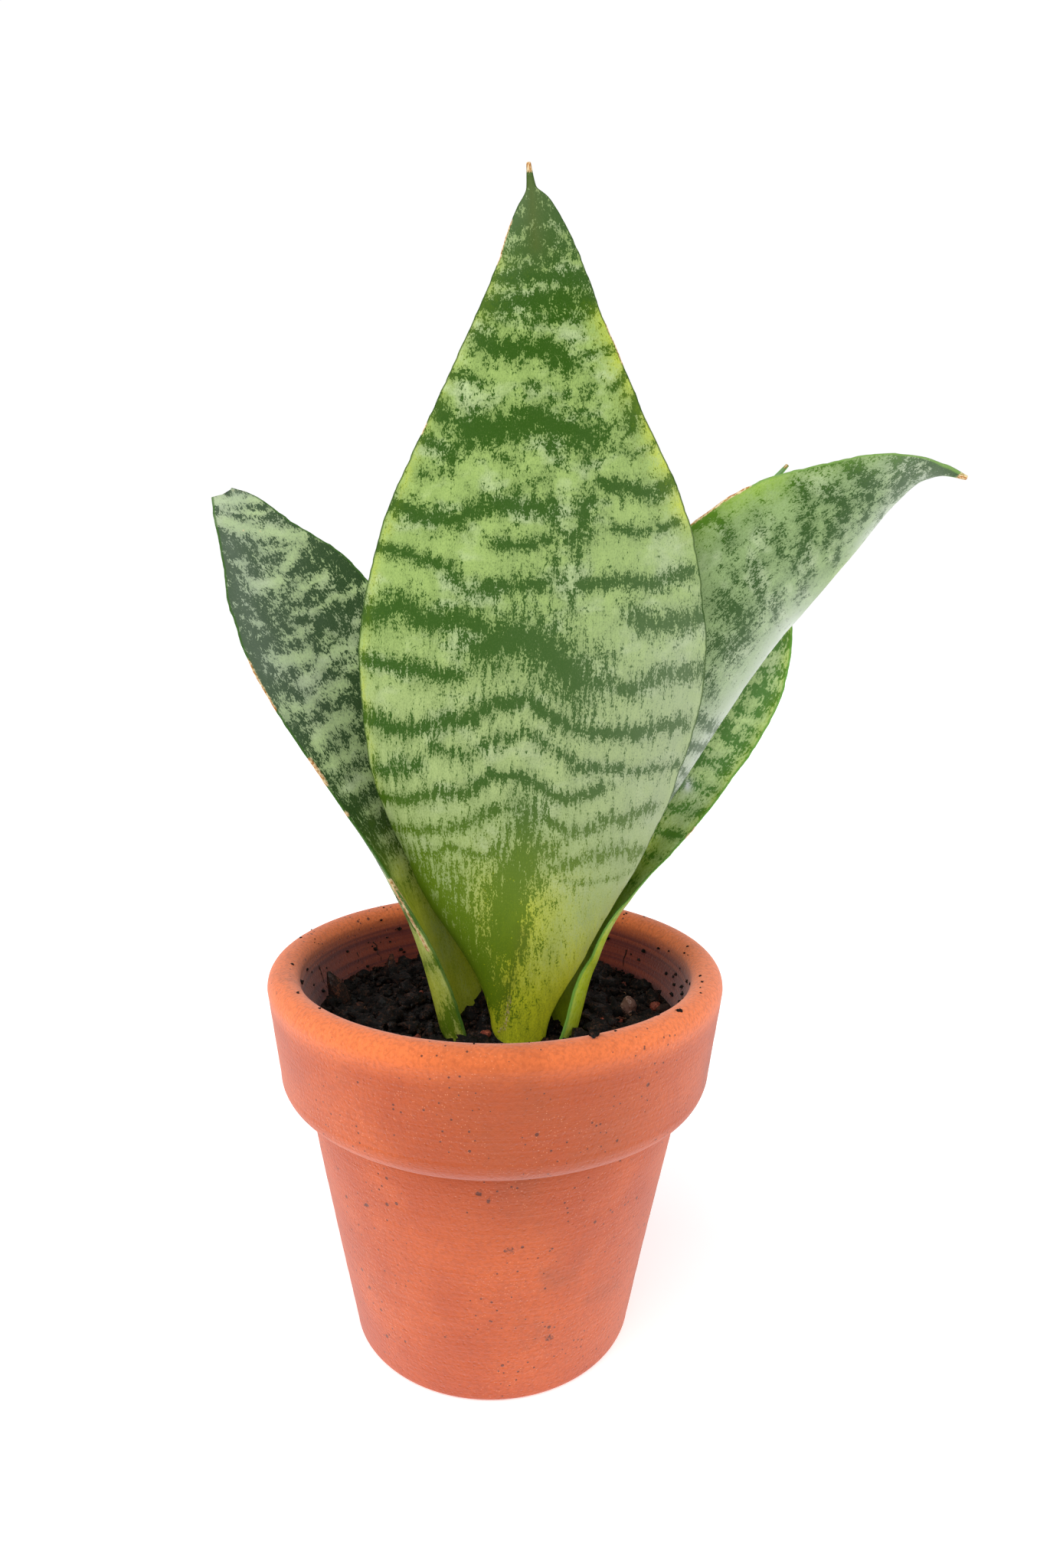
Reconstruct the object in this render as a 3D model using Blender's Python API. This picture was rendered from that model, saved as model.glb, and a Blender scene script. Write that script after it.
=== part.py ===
"""A young snake plant in a small terracotta pot.

Units are metres, +Z is up and the pot stands on z = 0. Everything is laid out about the pot's
upright axis. At the end one empty carries all of it sideways, so that the whole plant's
bounding box is centred on the world origin.
"""

import math

import bmesh
import bpy
import numpy as np
from mathutils import Matrix, Vector

MM = 0.001
GAP = 0.3 * MM  # clearance between two pieces that touch
LEAF_CLEARANCE = 0.5 * MM  # between a leaf's bent foot and the soil pressed round it

# Pot: a thrown terracotta pot with a thick band round its rim and a drain hole in its floor.
POT_HEIGHT = 79.5 * MM
RIM_RADIUS = 50.0 * MM  # outside, at the widest part of the lip
RIM_MOUTH_RADIUS = 43.2 * MM  # inside, where the lip's rounding ends
BAND_HEIGHT = 26.4 * MM  # from the lip down to the band's lower edge
BAND_FOOT_RADIUS = 46.9 * MM
BODY_TOP_RADIUS = 41.2 * MM
BASE_RADIUS = 30.6 * MM
FLOOR_THICKNESS = 7.0 * MM
FLOOR_INNER_RADIUS = 25.0 * MM
DRAIN_RADIUS = 6.0 * MM
LIP_ROUND = 3.4 * MM
BAND_ROUND = 5.0 * MM
STEP_FILLET = 1.5 * MM
BASE_ROUND = 1.5 * MM
FLOOR_FILLET = 4.0 * MM
DRAIN_CHAMFER = 0.8 * MM
POT_SIDES = 48

# Soil: it fills the pot to a little below the lip, and its surface is slightly lumpy.
SOIL_DROP = 13.3 * MM  # from the lip down to the soil
SOIL_LUMP = 0.7 * MM
SOIL_WAVES = (210.0, 190.0, 330.0)  # radians per metre, along X, along Y and slantwise
SOIL_SIDES = 40
SOIL_RINGS = 4  # rings of the surface inside the wall

# Rhizome: the short thick stem that lies in the soil and carries the leaves and the roots.
RHIZOME_RADIUS = 6.5 * MM
RHIZOME_LENGTH = 17.0 * MM  # between the centres of its two round ends
RHIZOME_CENTRE = Vector((3.0 * MM, -6.0 * MM, 0.0))
LEAF_FOOT_DEPTH = 9.5 * MM  # how far below the soil's surface the leaves' feet sit

# Roots: each leaves the rhizome at its own place and runs out to just inside the pot's wall.
ROOT_RADIUS = 1.2 * MM
ROOT_WALL_INSET = 4.5 * MM
ROOT_WIGGLE = 1.6 * MM
ROOT_STEPS = 9
ROOT_CUT_LEAD = 3  # how many times its own clearance a root's hole runs on towards the rhizome
# (place along the rhizome, angle round it from straight down, bearing of its end, end height)
ROOTS = (
    (-7.0 * MM, -25.0, 205.0, 26.0 * MM),
    (-2.5 * MM, 30.0, 120.0, 18.0 * MM),
    (1.0 * MM, -35.0, 268.0, 30.0 * MM),
    (4.5 * MM, 25.0, 62.0, 33.0 * MM),
    (8.5 * MM, -15.0, 335.0, 20.0 * MM),
)

# Leaves. A section across a leaf is an ellipse bent round an arc, so that the leaf is a
# channel at its foot and nearly flat in its blade. Each station gives, in millimetres and
# degrees: x and y from the pot's axis, height over the soil, half width, half thickness,
# the half angle that the channel is bent through, and the bearing and the pitch of the
# side that faces the plant's middle.
LEAF_SIDES = 20
ROWS_PER_STATION = 2
FRONT_LEAF = (
    (4.5, -10.5, -9.5, 5.5, 2.6, 60, 90, 0),
    (5.2, -13.0, 2.0, 7.0, 2.5, 62, 90, 0),
    (6.0, -15.5, 17.0, 16.0, 1.9, 52, 90, 0),
    (5.6, -17.0, 33.0, 26.0, 1.5, 42, 90, 0),
    (5.6, -19.0, 56.0, 34.0, 1.2, 30, 90, 0),
    (6.8, -20.5, 80.0, 37.0, 1.1, 22, 90, 0),
    (7.4, -21.0, 105.0, 33.0, 1.0, 18, 90, 0),
    (7.2, -21.0, 130.0, 21.6, 0.9, 16, 90, 0),
    (7.2, -20.5, 153.0, 11.2, 0.9, 16, 90, 0),
    (6.6, -20.0, 165.0, 6.4, 0.9, 20, 90, 0),
    (5.9, -20.0, 170.8, 3.2, 0.95, 20, 90, 0),
    (5.3, -20.0, 173.4, 1.0, 0.95, 5, 90, 0),
    (4.7, -20.0, 178.0, 0.45, 0.45, 0, 90, 0),
)
LEFT_LEAF = (
    (-8.0, -5.5, -9.5, 8.0, 1.5, 82, -8, 0),
    (-10.6, -6.0, 1.5, 10.5, 1.6, 82, -14, 0),
    (-14.6, -4.5, 17.0, 12.0, 1.4, 70, -24, 0),
    (-18.8, -2.5, 32.0, 13.5, 1.3, 58, -40, 0),
    (-27.6, 1.0, 54.0, 17.0, 1.1, 45, -50, 0),
    (-39.5, 3.0, 79.0, 18.8, 1.0, 35, -55, 0),
    (-47.6, 5.0, 93.0, 16.2, 0.9, 30, -55, 0),
    (-55.8, 7.0, 105.0, 10.0, 0.85, 25, -55, 0),
    (-61.4, 8.5, 113.5, 5.8, 0.8, 18, -55, 0),
    (-63.3, 9.0, 116.5, 4.2, 0.7, 10, -55, 0),
)
RIGHT_LEAF = (
    (3.6, -4.4, -9.5, 4.5, 1.8, 50, 92, 0),
    (5.6, -5.2, 9.0, 6.5, 1.7, 50, 96, 0),
    (13.5, -5.5, 29.0, 14.0, 1.5, 48, 102, 5),
    (27.5, -6.0, 56.5, 20.0, 1.2, 42, 106, 12),
    (43.0, -5.5, 81.5, 22.5, 1.1, 35, 110, 18),
    (59.0, -4.0, 99.5, 20.3, 1.0, 30, 112, 22),
    (76.5, -2.5, 112.8, 13.2, 0.95, 28, 110, 30),
    (86.5, -1.5, 119.3, 7.8, 0.9, 28, 110, 40),
    (93.0, -1.0, 122.3, 3.2, 0.95, 25, 110, 50),
    (96.0, -1.0, 122.6, 1.6, 1.0, 10, 110, 50),
    (101.5, -1.0, 121.0, 0.5, 0.5, 0, 110, 50),
)
RIGHT_BACK_LEAF = (
    (13.6, -3.0, -9.5, 8.0, 1.3, 80, 192, 0),
    (16.2, -5.0, 1.0, 9.0, 1.3, 78, 206, 0),
    (19.6, -0.5, 12.0, 10.0, 1.2, 60, 214, 0),
    (24.0, 6.0, 24.0, 12.5, 1.1, 50, 226, 0),
    (29.0, 11.0, 36.0, 15.0, 1.1, 42, 236, 0),
    (40.0, 17.0, 56.0, 17.5, 1.0, 34, 246, 0),
    (50.5, 20.5, 74.0, 18.0, 0.95, 30, 250, 0),
    (56.0, 22.5, 89.0, 15.0, 0.9, 25, 250, 0),
    (58.0, 23.5, 106.0, 8.5, 0.9, 20, 250, 0),
    (60.5, 24.0, 117.0, 3.2, 0.9, 20, 250, 0),
    (62.5, 24.0, 120.0, 1.1, 0.95, 5, 250, 0),
    (69.0, 24.0, 127.5, 0.45, 0.45, 0, 250, 0),
)

# Loose pieces pressed into the soil: bearing from the pot's axis, distance in from the wall,
# half sizes along, across and up, how far the middle stands over the soil, and its turn.
# Lengths are in millimetres and angles in degrees.
STONES = {
    "pale_stone": (-4.0, 11.0, 1.9, 1.5, 2.6, 1.6, 20.0),
    "clay_grit_1": (6.0, 10.0, 1.0, 0.8, 0.8, 0.4, 0.0),
    "clay_grit_2": (18.0, 18.0, 1.7, 1.3, 1.2, 0.5, 30.0),
    "clay_grit_3": (-12.0, 16.0, 1.9, 1.3, 1.1, 0.4, -20.0),
    "clay_grit_4": (2.0, 4.5, 1.6, 1.2, 1.2, 0.5, 60.0),
    "clay_grit_5": (262.0, 27.0, 1.2, 0.9, 0.9, 0.4, 15.0),
    "bark_chip_1": (249.0, 20.0, 2.6, 1.2, 0.7, 0.5, 70.0),
    "bark_chip_2": (196.0, 9.0, 2.4, 1.5, 0.7, 0.5, 25.0),
    "bark_chip_3": (150.0, 14.0, 2.8, 1.4, 0.8, 0.5, -15.0),
}
# Twigs: bearing, distance in from the wall, length, half thickness, lean outward, lean round.
TWIGS = {
    "rim_twig": (174.0, 5.0, 12.0, 0.8, 24.0, 6.0),
    "back_twig": (139.0, 4.5, 9.0, 0.7, 6.0, -8.0),
}
TWIG_DEPTH = 4.0 * MM
TWIG_SIDES = 8
TWIG_TAPER = 0.6  # thickness at the upper end, as a share of that at the lower
STONE_UNEVENNESS = 0.08  # share of a loose piece's size

COLOURS = {
    "terracotta": ((0.62, 0.19, 0.065, 1), 0.8),
    "soil": ((0.012, 0.009, 0.007, 1), 0.95),
    "leaf": ((0.17, 0.32, 0.075, 1), 0.4),
    "rhizome": ((0.48, 0.30, 0.10, 1), 0.6),
    "root": ((0.55, 0.42, 0.25, 1), 0.8),
    "stone": ((0.33, 0.26, 0.23, 1), 0.7),
    "clay": ((0.42, 0.11, 0.05, 1), 0.85),
    "bark": ((0.10, 0.045, 0.022, 1), 0.9),
}

SOIL_TOP = POT_HEIGHT - SOIL_DROP
RHIZOME_CENTRE.z = SOIL_TOP - LEAF_FOOT_DEPTH - GAP - RHIZOME_RADIUS


def clear_scene():
    for obj in list(bpy.data.objects):
        bpy.data.objects.remove(obj, do_unlink=True)


def material(name):
    colour, roughness = COLOURS[name]
    made = bpy.data.materials.get(name) or bpy.data.materials.new(name)
    made.use_nodes = True
    shader = made.node_tree.nodes["Principled BSDF"]
    shader.inputs["Base Color"].default_value = colour
    shader.inputs["Roughness"].default_value = roughness
    shader.inputs["Metallic"].default_value = 0.0
    return made


def finish(obj, colour, sharp_angle=40):
    """Give an object its material and smooth shading."""
    obj.data.materials.append(material(colour))
    if obj.type == "MESH":
        obj.data.shade_smooth()
        obj.data.set_sharp_from_angle(angle=math.radians(sharp_angle))


def object_from(bm, name):
    bmesh.ops.recalc_face_normals(bm, faces=bm.faces)
    if bm.calc_volume(signed=True) < 0:
        bmesh.ops.reverse_faces(bm, faces=bm.faces)
    mesh = bpy.data.meshes.new(name)
    bm.to_mesh(mesh)
    bm.free()
    obj = bpy.data.objects.new(name, mesh)
    bpy.context.collection.objects.link(obj)
    return obj


def as_cutter(obj):
    obj.hide_render = True
    obj.display_type = "WIRE"
    return obj


# Turned pieces


def arc(centre, radius, start, end, steps):
    """Points (radius from the axis, height) along an arc, from angle start to end in degrees."""
    angles = np.radians(np.linspace(start, end, steps + 1))
    return [(centre[0] + radius * math.cos(a), centre[1] + radius * math.sin(a)) for a in angles]


def turned(name, outline, sides, closed):
    """A solid of revolution about Z. A closed outline makes a ring; an open one meets the axis."""
    bm = bmesh.new()
    verts = [bm.verts.new((radius, 0, height)) for radius, height in outline]
    ends = verts[1:] + verts[:1] if closed else verts[1:]
    edges = [bm.edges.new(pair) for pair in zip(verts, ends)]
    bmesh.ops.spin(bm, geom=verts + edges, axis=(0, 0, 1), cent=(0, 0, 0),
                   angle=math.tau, steps=sides, use_merge=True)
    bmesh.ops.remove_doubles(bm, verts=bm.verts, dist=MM / 100)
    return object_from(bm, name)


def wall_radius(height):
    """Inner radius of the pot's wall at a height."""
    mouth = POT_HEIGHT - LIP_ROUND
    share = (height - FLOOR_THICKNESS) / (mouth - FLOOR_THICKNESS)
    return FLOOR_INNER_RADIUS + share * (RIM_MOUTH_RADIUS - FLOOR_INNER_RADIUS)


def pot():
    band_foot = POT_HEIGHT - BAND_HEIGHT
    lip_centre = POT_HEIGHT - LIP_ROUND
    fillet_top = FLOOR_THICKNESS + FLOOR_FILLET
    outline = [(DRAIN_RADIUS + DRAIN_CHAMFER, 0.0)]
    outline += arc((BASE_RADIUS - BASE_ROUND, BASE_ROUND), BASE_ROUND, -90, 0, 3)
    outline += arc((BODY_TOP_RADIUS + STEP_FILLET, band_foot - STEP_FILLET), STEP_FILLET, 180, 90, 3)
    outline += arc((BAND_FOOT_RADIUS - BAND_ROUND, band_foot + BAND_ROUND), BAND_ROUND, -60, 0, 4)
    outline += arc((RIM_RADIUS - LIP_ROUND, lip_centre), LIP_ROUND, 0, 90, 4)
    outline += arc((RIM_MOUTH_RADIUS + LIP_ROUND, lip_centre), LIP_ROUND, 90, 180, 4)[1:]
    outline += arc((wall_radius(fillet_top) - FLOOR_FILLET, fillet_top), FLOOR_FILLET, 0, -90, 3)
    outline += [(DRAIN_RADIUS, FLOOR_THICKNESS), (DRAIN_RADIUS, DRAIN_CHAMFER)]
    obj = turned("pot", outline, POT_SIDES, closed=True)
    finish(obj, "terracotta", sharp_angle=35)
    return obj


def soil_height(x, y):
    """Height of the lumpy soil surface over a point."""
    along_x, along_y, slantwise = SOIL_WAVES
    wave = math.sin(x * along_x + 0.6) * math.cos(y * along_y - 0.4)
    return SOIL_TOP + SOIL_LUMP * (wave + 0.6 * math.sin((x + y) * slantwise))


def soil_body():
    """The soil as it fills the pot, before anything stands in it."""
    bottom = FLOOR_THICKNESS + GAP
    fillet_top = bottom + FLOOR_FILLET
    outline = [(0.0, bottom)]
    outline += arc((wall_radius(fillet_top) - FLOOR_FILLET - GAP, fillet_top), FLOOR_FILLET, -90, 0, 3)
    reach = wall_radius(SOIL_TOP) - GAP
    outline += [(reach * ring / (SOIL_RINGS + 1), SOIL_TOP) for ring in range(SOIL_RINGS + 1, -1, -1)]
    obj = turned("soil", outline, SOIL_SIDES, closed=False)
    for vert in obj.data.vertices:
        x, y, z = vert.co
        if z > SOIL_TOP - GAP and math.hypot(x, y) < reach - GAP:
            vert.co.z = soil_height(x, y)
    return obj


# Leaves


def smooth_stations(knots, values, places):
    """Values at places along the knots, by a cubic that never overshoots its stations."""
    step = np.diff(knots)[:, None]
    slope = np.diff(values, axis=0) / step
    before, after = slope[:-1], slope[1:]
    same_way = before * after > 0
    mean = np.where(same_way, 2 * before * after / np.where(same_way, before + after, 1), 0)
    tangent = np.vstack([slope[:1], mean, slope[-1:]])
    index = np.clip(np.searchsorted(knots, places, side="right") - 1, 0, len(knots) - 2)
    width = step[index]
    t = ((places - knots[index])[:, None]) / width
    start, end = values[index], values[index + 1]
    return ((2 * t**3 - 3 * t**2 + 1) * start + (t**3 - 2 * t**2 + t) * width * tangent[index]
            + (3 * t**2 - 2 * t**3) * end + (t**3 - t**2) * width * tangent[index + 1])


def leaf_frames(stations):
    """Rows along a leaf: middle, side and facing directions, half width, half thickness, bend."""
    table = np.array(stations, float)
    knots = np.concatenate([[0], np.cumsum(np.linalg.norm(np.diff(table[:, :3], axis=0), axis=1))])
    rows = (len(stations) - 1) * ROWS_PER_STATION
    places = np.interp(np.arange(rows + 1) / ROWS_PER_STATION, np.arange(len(knots)), knots)
    smooth = smooth_stations(knots, table, places)
    middle = smooth[:, :3] * MM + np.array((0, 0, SOIL_TOP))
    along = np.gradient(smooth[:, :3], places, axis=0)
    along /= np.linalg.norm(along, axis=1)[:, None]
    bearing, pitch = np.radians(smooth[:, 6]), np.radians(smooth[:, 7])
    facing = np.stack([np.cos(bearing) * np.cos(pitch), np.sin(bearing) * np.cos(pitch),
                       np.sin(pitch)], axis=1)
    facing -= (facing * along).sum(axis=1)[:, None] * along
    facing /= np.linalg.norm(facing, axis=1)[:, None]
    side = np.cross(facing, along)
    return middle, side, facing, smooth[:, 3] * MM, smooth[:, 4] * MM, np.radians(smooth[:, 5])


def leaf_point(frames, row, angle, grow):
    """A point of the section at a row: an ellipse bent round the channel's arc."""
    middle, side, facing, width, thickness, bend = (column[row] for column in frames)
    half_width = width + grow
    across = half_width * math.cos(angle)
    up = (thickness + grow) * math.sin(angle)
    if bend < math.radians(1):
        return middle + across * side + up * facing
    radius = width / bend
    turn = across / radius
    return (middle + (radius - up) * math.sin(turn) * side
            + (radius - (radius - up) * math.cos(turn)) * facing)


def leaf(name, stations, grow=0.0):
    """A leaf shaped from an upright tube: each ring of the tube becomes one row of the leaf."""
    frames = leaf_frames(stations)
    rows = len(frames[0]) - 1
    bm = bmesh.new()
    bmesh.ops.create_cone(bm, cap_ends=True, segments=LEAF_SIDES, radius1=1, radius2=1,
                          depth=rows, matrix=Matrix.Translation((0, 0, rows / 2)))
    uprights = [edge for edge in bm.edges if abs(edge.verts[0].co.z - edge.verts[1].co.z) > 0.5]
    bmesh.ops.subdivide_edges(bm, edges=uprights, cuts=rows - 1, use_grid_fill=True)
    for vert in bm.verts:
        angle = math.atan2(vert.co.y, vert.co.x)
        row = round(vert.co.z)
        vert.co = leaf_point(frames, row, angle, grow)
        if row == 0:
            vert.co.z = SOIL_TOP - LEAF_FOOT_DEPTH - grow
    return object_from(bm, name)


# Rhizome, roots and loose pieces


def rhizome(name, grow=0.0):
    """A capsule lying along X."""
    bm = bmesh.new()
    bmesh.ops.create_uvsphere(bm, u_segments=14, v_segments=8, radius=RHIZOME_RADIUS + grow,
                              matrix=Matrix.Rotation(math.pi / 2, 4, "Y"))
    right = [vert for vert in bm.verts if vert.co.x > MM / 100]
    left = [vert for vert in bm.verts if vert.co.x < -MM / 100]
    half = Vector((RHIZOME_LENGTH / 2, 0, 0))
    bmesh.ops.translate(bm, verts=right, vec=half)
    bmesh.ops.translate(bm, verts=left, vec=-half)
    bmesh.ops.translate(bm, verts=bm.verts, vec=RHIZOME_CENTRE)
    return object_from(bm, name)


def root_route(root):
    """Points along a root, from the rhizome's skin out to just inside the pot's wall."""
    place, swing, bearing, end_height = root
    swing, bearing = math.radians(swing), math.radians(bearing)
    outward = Vector((0, math.sin(swing), -math.cos(swing)))
    start = RHIZOME_CENTRE + Vector((place, 0, 0)) + outward * (RHIZOME_RADIUS + GAP)
    reach = wall_radius(end_height) - ROOT_WALL_INSET
    end = Vector((reach * math.cos(bearing), reach * math.sin(bearing), end_height))
    sideways = Vector((-math.sin(bearing), math.cos(bearing), 0))
    lead = start + outward * (start - end).length / 3
    points = []
    for step in range(ROOT_STEPS + 1):
        t = step / ROOT_STEPS
        point = start * (1 - t) ** 2 + lead * 2 * t * (1 - t) + end * t**2
        points.append(point + sideways * ROOT_WIGGLE * math.sin(t * 3 * math.pi) * t)
    return points


def root_curve(name, root, grow=0.0):
    points = root_route(root)
    if grow:
        points[0] = points[0] + (points[0] - points[1]).normalized() * grow * ROOT_CUT_LEAD
        points[-1] = points[-1] + (points[-1] - points[-2]).normalized() * grow
    curve = bpy.data.curves.new(name, "CURVE")
    curve.dimensions = "3D"
    curve.bevel_depth = ROOT_RADIUS + grow
    curve.bevel_resolution = 2
    curve.use_fill_caps = True
    spline = curve.splines.new("POLY")
    spline.points.add(len(points) - 1)
    for target, point in zip(spline.points, points):
        target.co = (*point, 1)
    obj = bpy.data.objects.new(name, curve)
    bpy.context.collection.objects.link(obj)
    return obj


def mesh_copy(obj, name):
    """A mesh object with the shape that the object has once its modifiers and bevels are done."""
    graph = bpy.context.evaluated_depsgraph_get()
    mesh = bpy.data.meshes.new_from_object(obj.evaluated_get(graph))
    bm = bmesh.new()
    bm.from_mesh(mesh)
    bmesh.ops.remove_doubles(bm, verts=bm.verts, dist=MM / 1000)
    bm.to_mesh(mesh)
    bm.free()
    made = bpy.data.objects.new(name, mesh)
    bpy.context.collection.objects.link(made)
    return made


def on_soil(bearing, inset):
    """The point of the soil's surface at a bearing, a distance in from the wall."""
    reach = wall_radius(SOIL_TOP) - inset * MM
    x = reach * math.cos(math.radians(bearing))
    y = reach * math.sin(math.radians(bearing))
    return Vector((x, y, soil_height(x, y)))


def stone(name, values, grow=0.0):
    """A lump with a slightly uneven skin."""
    bearing, inset, along, across, up, over, turn = values
    bm = bmesh.new()
    bmesh.ops.create_icosphere(bm, subdivisions=2, radius=1)
    for vert in bm.verts:
        x, y, z = vert.co
        uneven = 1 + STONE_UNEVENNESS * math.sin(3.1 * x + along) * math.cos(2.7 * y + 2.3 * z + up)
        vert.co = Vector((x * (along * MM + grow), y * (across * MM + grow), z * (up * MM + grow))) * uneven
    bmesh.ops.rotate(bm, verts=bm.verts, cent=(0, 0, 0), matrix=Matrix.Rotation(math.radians(turn), 3, "Z"))
    bmesh.ops.translate(bm, verts=bm.verts, vec=on_soil(bearing, inset) + Vector((0, 0, over * MM)))
    return object_from(bm, name)


def twig(name, values, grow=0.0):
    """A short stick that stands in the soil and leans."""
    bearing, inset, length, half, outward, round_lean = values
    foot = on_soil(bearing, inset)
    radial = Vector((math.cos(math.radians(bearing)), math.sin(math.radians(bearing)), 0))
    tangent = Vector((-radial.y, radial.x, 0))
    lean = (Vector((0, 0, 1)) + radial * math.tan(math.radians(outward))
            + tangent * math.tan(math.radians(round_lean))).normalized()
    total = length * MM + grow
    bm = bmesh.new()
    bmesh.ops.create_cone(bm, cap_ends=True, segments=TWIG_SIDES, radius1=half * MM + grow,
                          radius2=half * MM * TWIG_TAPER + grow, depth=total)
    centre = foot + lean * (length * MM / 2 - TWIG_DEPTH - grow / 2)
    turn = lean.to_track_quat("Z", "Y").to_matrix().to_4x4()
    bmesh.ops.transform(bm, verts=bm.verts, matrix=Matrix.Translation(centre) @ turn)
    return object_from(bm, name)


def drop_loose_crumbs(obj):
    """Keep only the largest body of a mesh: soil that the cuts have parted from it is left out."""
    bm = bmesh.new()
    bm.from_mesh(obj.data)
    left = set(bm.verts)
    bodies = []
    while left:
        body = set()
        waiting = [left.pop()]
        while waiting:
            vert = waiting.pop()
            body.add(vert)
            near = {edge.other_vert(vert) for edge in vert.link_edges} & left
            left -= near
            waiting += near
        bodies.append(body)
    bodies.sort(key=len)
    bmesh.ops.delete(bm, geom=[vert for body in bodies[:-1] for vert in body], context="VERTS")
    bm.to_mesh(obj.data)
    bm.free()


def press_into(body, cutters):
    for cutter in cutters:
        cut = body.modifiers.new(cutter.name, "BOOLEAN")
        cut.operation = "DIFFERENCE"
        cut.solver = "MANIFOLD"
        cut.object = as_cutter(cutter)


def centre_on_origin(objects):
    """Carry everything sideways on one empty, so that its bounding box is centred on Z."""
    bpy.context.view_layer.update()
    corners = [obj.matrix_world @ Vector(corner) for obj in objects for corner in obj.bound_box]
    middle = [(min(c[i] for c in corners) + max(c[i] for c in corners)) / 2 for i in (0, 1)]
    carrier = bpy.data.objects.new("plant_origin", None)
    bpy.context.collection.objects.link(carrier)
    for obj in bpy.data.objects:
        if obj is not carrier and obj.parent is None:
            obj.parent = carrier
    carrier.location = (-middle[0], -middle[1], 0)


def main():
    clear_scene()
    pieces = [pot()]
    cutters = []
    leaves = {"front_leaf": FRONT_LEAF, "left_leaf": LEFT_LEAF,
              "right_leaf": RIGHT_LEAF, "right_back_leaf": RIGHT_BACK_LEAF}
    for name, stations in leaves.items():
        made = leaf(name, stations)
        finish(made, "leaf", sharp_angle=60)
        pieces.append(made)
        cutters.append(leaf("cut_" + name, stations, LEAF_CLEARANCE))
    made = rhizome("rhizome")
    finish(made, "rhizome")
    pieces.append(made)
    cutters.append(rhizome("cut_rhizome", GAP))
    for number, root in enumerate(ROOTS, 1):
        made = root_curve(f"root_{number}", root)
        finish(made, "root")
        pieces.append(made)
        tube = as_cutter(root_curve(f"guide_root_{number}", root, GAP))
        cutters.append(mesh_copy(tube, f"cut_root_{number}"))
    for name, values in STONES.items():
        made = stone(name, values)
        colour = "stone" if "stone" in name else "clay" if "clay" in name else "bark"
        finish(made, colour, sharp_angle=50)
        pieces.append(made)
        cutters.append(stone("cut_" + name, values, GAP))
    for name, values in TWIGS.items():
        made = twig(name, values)
        finish(made, "bark")
        pieces.append(made)
        cutters.append(twig("cut_" + name, values, GAP))
    block = soil_body()
    press_into(block, cutters)
    soil = mesh_copy(block, "soil_pressed")
    bpy.data.objects.remove(block, do_unlink=True)
    soil.name = "soil"
    drop_loose_crumbs(soil)
    finish(soil, "soil", sharp_angle=50)
    pieces.append(soil)
    centre_on_origin(pieces)


main()
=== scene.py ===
# %% [markdown]
# # A young snake plant in a small terracotta pot
#
# The plant has four stiff leaves: a broad one standing in front, one leaning out on the left, one
# arching out on the right, and a short one behind that. They rise from one buried stem in black,
# crumbly soil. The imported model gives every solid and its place, in metres with Z up. These cells
# build a finer skin round those solids and give each surface its finish.

# %% Bench
import math
import random

import bmesh
import bpy
import numpy as np
from mathutils import Matrix, Vector, noise
from mathutils.bvhtree import BVHTree


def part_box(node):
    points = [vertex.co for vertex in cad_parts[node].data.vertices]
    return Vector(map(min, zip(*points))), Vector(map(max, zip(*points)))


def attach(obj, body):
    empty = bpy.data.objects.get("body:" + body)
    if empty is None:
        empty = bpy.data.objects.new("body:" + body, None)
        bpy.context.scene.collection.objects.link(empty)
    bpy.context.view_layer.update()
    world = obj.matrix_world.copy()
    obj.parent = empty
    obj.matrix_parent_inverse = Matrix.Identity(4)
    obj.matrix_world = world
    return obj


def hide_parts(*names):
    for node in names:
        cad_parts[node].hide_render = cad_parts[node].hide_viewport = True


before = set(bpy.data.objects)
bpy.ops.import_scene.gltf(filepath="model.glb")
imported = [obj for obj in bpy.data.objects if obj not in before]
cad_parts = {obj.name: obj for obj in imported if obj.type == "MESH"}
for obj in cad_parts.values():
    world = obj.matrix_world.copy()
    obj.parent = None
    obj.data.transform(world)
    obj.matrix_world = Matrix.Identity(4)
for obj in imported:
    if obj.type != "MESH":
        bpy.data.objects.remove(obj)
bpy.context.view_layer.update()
MM = 0.001

# %% [markdown]
# ## Where things stand
#
# The pot is round, so the middle of its box is the axis that everything else is placed from. Its
# height and its widest radius come from the same box.

# %% Pot axis
pot_low, pot_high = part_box("pot")
AXIS = Vector(((pot_low.x + pot_high.x) / 2, (pot_low.y + pot_high.y) / 2, 0))
POT_HEIGHT = pot_high.z
RIM_RADIUS = (pot_high.x - pot_low.x) / 2
SOIL_TOP = POT_HEIGHT - 13.3 * MM
print(f"axis x {AXIS.x * 1000:.2f} mm, pot {POT_HEIGHT * 1000:.1f} high, rim radius {RIM_RADIUS * 1000:.1f}")

# %% [markdown]
# ## Camera
#
# A small plant is best seen from close by, a little above the rim, so that the mouth of the pot
# shows as a wide ellipse and the tall leaf seems to lean back. A short lens from 21 cm away gives
# that. The camera looks down by under three degrees and is tipped by less than one degree. The
# frame is shifted so that the whole pot stays in it.

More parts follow.
